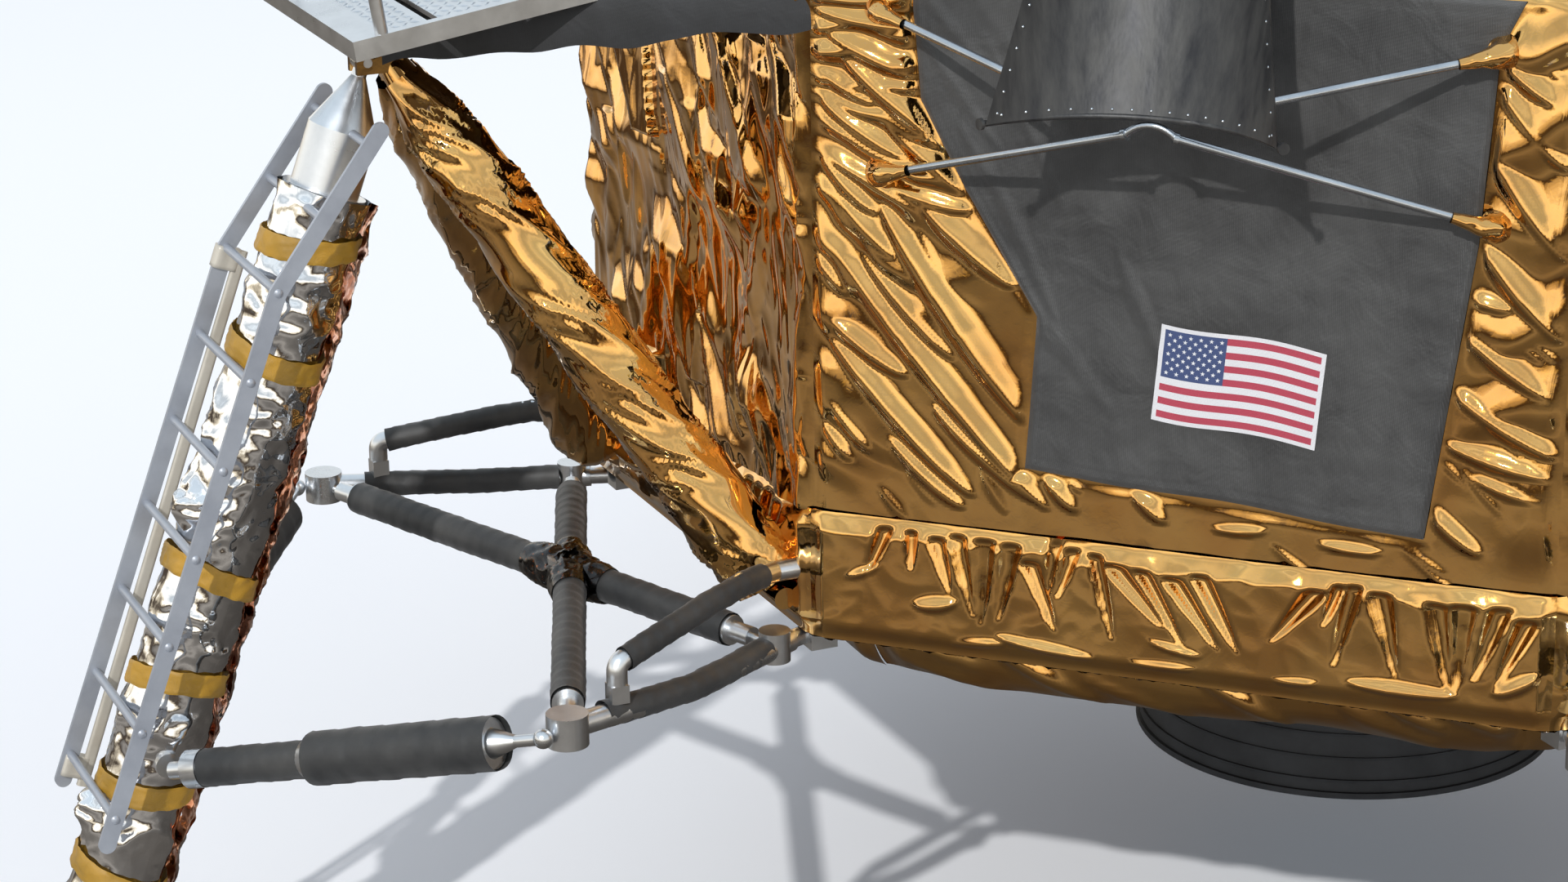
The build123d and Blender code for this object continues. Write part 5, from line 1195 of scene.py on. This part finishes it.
def cabin_rivets():
    """Heads round the cabin drum's aft rim and along its top, and on the tank housings' outer sides."""
    drum_radius, drum_z = 1.168, 4.474
    rim = np.arange(22, 159, 2.6)  # degrees from port over the top
    top = np.arange(-1.60, -0.92, 0.055)
    angle = np.radians(np.concatenate([rim, rim, 0 * top + 76, 0 * top + 104]))
    y = np.concatenate([0 * rim - 0.822, 0 * rim - 0.862, top, top])
    out = np.stack([np.cos(angle), 0 * angle, np.sin(angle)], axis=-1)
    middle = np.stack([0 * y, y, 0 * y + drum_z], axis=-1)
    heads = heads_along(middle + out * drum_radius, out, 0.007, 0.0035)
    polygons("cabin_rivets", *heads, cabin_grey, "cabin_skin")
    for name, way in (("tank_housing_port", 1), ("tank_housing_starboard", -1)):
        low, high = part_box(name)
        x = high.x if way > 0 else low.x
        bottom, top = low.z + 0.20, high.z - 0.20
        half = (high.y - low.y) / 2 * tan(pi / 8)
        middle = (high.y + low.y) / 2
        lines = [((x, y, bottom), (x, y, top)) for y in (middle - half + 0.03, middle + half - 0.03)]
        lines += [((x, middle - half + 0.05, z), (x, middle + half - 0.05, z)) for z in (bottom, top)]
        rivet_rows(f"{name}_rivets", lines, [(way, 0, 0)] * 4, cabin_grey, "cabin_skin")


bay_rivets()
cabin_rivets()


# Floor, light and camera

def ring_rows(rows):
    """Points round the axis at each row's reach and height."""
    angle = np.linspace(0, 2 * pi, 96, endpoint=False)
    reach, level = np.array(rows, float).T[..., None]
    return np.stack([reach * np.cos(angle), reach * np.sin(angle), level + 0 * angle], axis=-1)


def card(name, rows, by, span, strength, *tones):
    """A glowing ring round the object that mirrors alone see, given by reach and height rows: a painted
    reflection of a ground or a sky. Its tone runs with the distance out or the height, over span."""
    glow, tree, shader = start_material(name, Roughness=1.0, Base_Color=(0, 0, 0, 1))
    place = node(tree, "TexCoord", output="Object")
    patch = node(tree, "TexNoise", Vector=place, Scale=0.35, Detail=6, Roughness=0.65)
    if by == "distance":
        flat = node(tree, "VectorMath", {"operation": "MULTIPLY"}, i0=place, i1=(1, 1, 0))
        run = node(tree, "VectorMath", {"operation": "LENGTH"}, "Value", i0=flat)
    else:
        run = node(tree, "SeparateXYZ", output="Z", Vector=place)
    value = node(tree, "Math", {"operation": "MULTIPLY_ADD"}, i0=patch, i1=5.0, i2=run)
    share = node(tree, "Math", {"operation": "DIVIDE"}, i0=value, i1=span)
    fill(tree, shader, {
        "Emission Color": node(tree, "ValToRGB", stops=tones, Fac=share), "Emission Strength": strength,
    })
    piece = surface(name, ring_rows(rows), glow, closed=True)
    for way in ("camera", "diffuse", "shadow", "transmission"):
        setattr(piece, f"visible_{way}", False)


def studio():
    """A pale floor, a lamp like a soft sun, a white room, and glowing rings that only mirrors see: painted
    reflections of a dim ground and a hazy sky.
    """
    floor, _, _ = start_material("pale_floor", Roughness=0.9, Base_Color=linear("#F7F7F8"))
    floor_rows = [(reach, 0) for reach in (120, 40, 12, 4, 0)]
    surface("floor", ring_rows(floor_rows), floor, closed=True)
    # Painted reflection of the ground: dark near and under the object as painted shade, palest some metres
    # out, darker again far off
    card(
        "dim_ground_card", ((0.0, 0.003), (14.0, 0.003), (60.0, 0.003)), "distance", 20.8, 1.0,
        (0.0, "#2B2825"), (0.22, "#443F3A"), (0.36, "#6F6962"), (0.46, "#9A938A"), (0.56, "#7B746C"),
        (0.75, "#4A433B"),
    )
    # Painted reflection of the sky: a dark band low down like a far skyline, a bright glowing horizon, then
    # paler and darker sky in noisy patches
    card(
        "haze_card", ((14.0, 0.0), (14.0, 14.0)), "height", 16.3, 1.8,
        (0.04, "#2E261F"), (0.19, "#3E342B"), (0.26, "#BFB39C"), (0.33, "#F4F0E6"), (0.42, "#E3E3DF"),
        (0.56, "#9FA6AB"), (0.70, "#C3CACE"), (0.86, "#A6B1B9"), (0.98, "#CAD5DD"),
    )

    world = bpy.data.worlds.new("white_room")
    bpy.context.scene.world = world
    world.use_nodes = True
    tree = world.node_tree
    sky = tree.nodes["Background"]
    seen, through, glossy = (
        node(tree, "LightPath", output=f"Is {kind} Ray") for kind in ("Camera", "Transmission", "Glossy")
    )
    clear = node(tree, "Math", {"operation": "MAXIMUM"}, i0=seen, i1=through)
    backdrop, in_mirrors, on_dull = (0.94, 0.94, 0.94, 1), (0.78, 0.90, 1.0, 1), (0.58, 0.64, 0.72, 1)
    unseen = node(tree, "Mix", {"data_type": "RGBA"}, 2, i0=glossy, i6=on_dull, i7=in_mirrors)
    colour = node(tree, "Mix", {"data_type": "RGBA"}, 2, i0=clear, i6=unseen, i7=backdrop)
    fill(tree, sky, {"Color": colour, "Strength": 1.0})

    lamp = bpy.data.lights.new("key_lamp", "SUN")
    lamp.energy = 2.2
    lamp.angle = radians(1.2)
    key = bpy.data.objects.new("key_lamp", lamp)
    key.rotation_euler = Vector((-0.99, 0.93, -1.0)).to_track_quat("-Z", "Y").to_euler()
    bpy.context.scene.collection.objects.link(key)


def camera():
    """The photograph's camera: its fitted place, its turn about the upright, its height angle and
    its roll in degrees, and its focal length on a 36 mm sensor."""
    place, azimuth, elevation, roll = (9.3269, -5.9775, 5.1672), 66.2492, 19.0098, -0.7611
    az, el = radians(azimuth), radians(elevation)
    back = Vector((cos(el) * sin(az), -cos(el) * cos(az), sin(el)))
    level = Vector((cos(az), sin(az), 0))
    right = level * cos(radians(roll)) + back.cross(level) * sin(radians(roll))
    turn = Matrix((right, back.cross(right), back)).transposed().to_4x4()
    lens = bpy.data.cameras.new("camera")
    lens.sensor_width = 36
    lens.lens = 88.33
    lens.clip_end = 500
    viewer = bpy.data.objects.new("camera", lens)
    viewer.matrix_world = Matrix.Translation(place) @ turn
    bpy.context.scene.collection.objects.link(viewer)
    bpy.context.scene.camera = viewer


studio()
camera()
bpy.context.scene.view_settings.view_transform = "Standard"
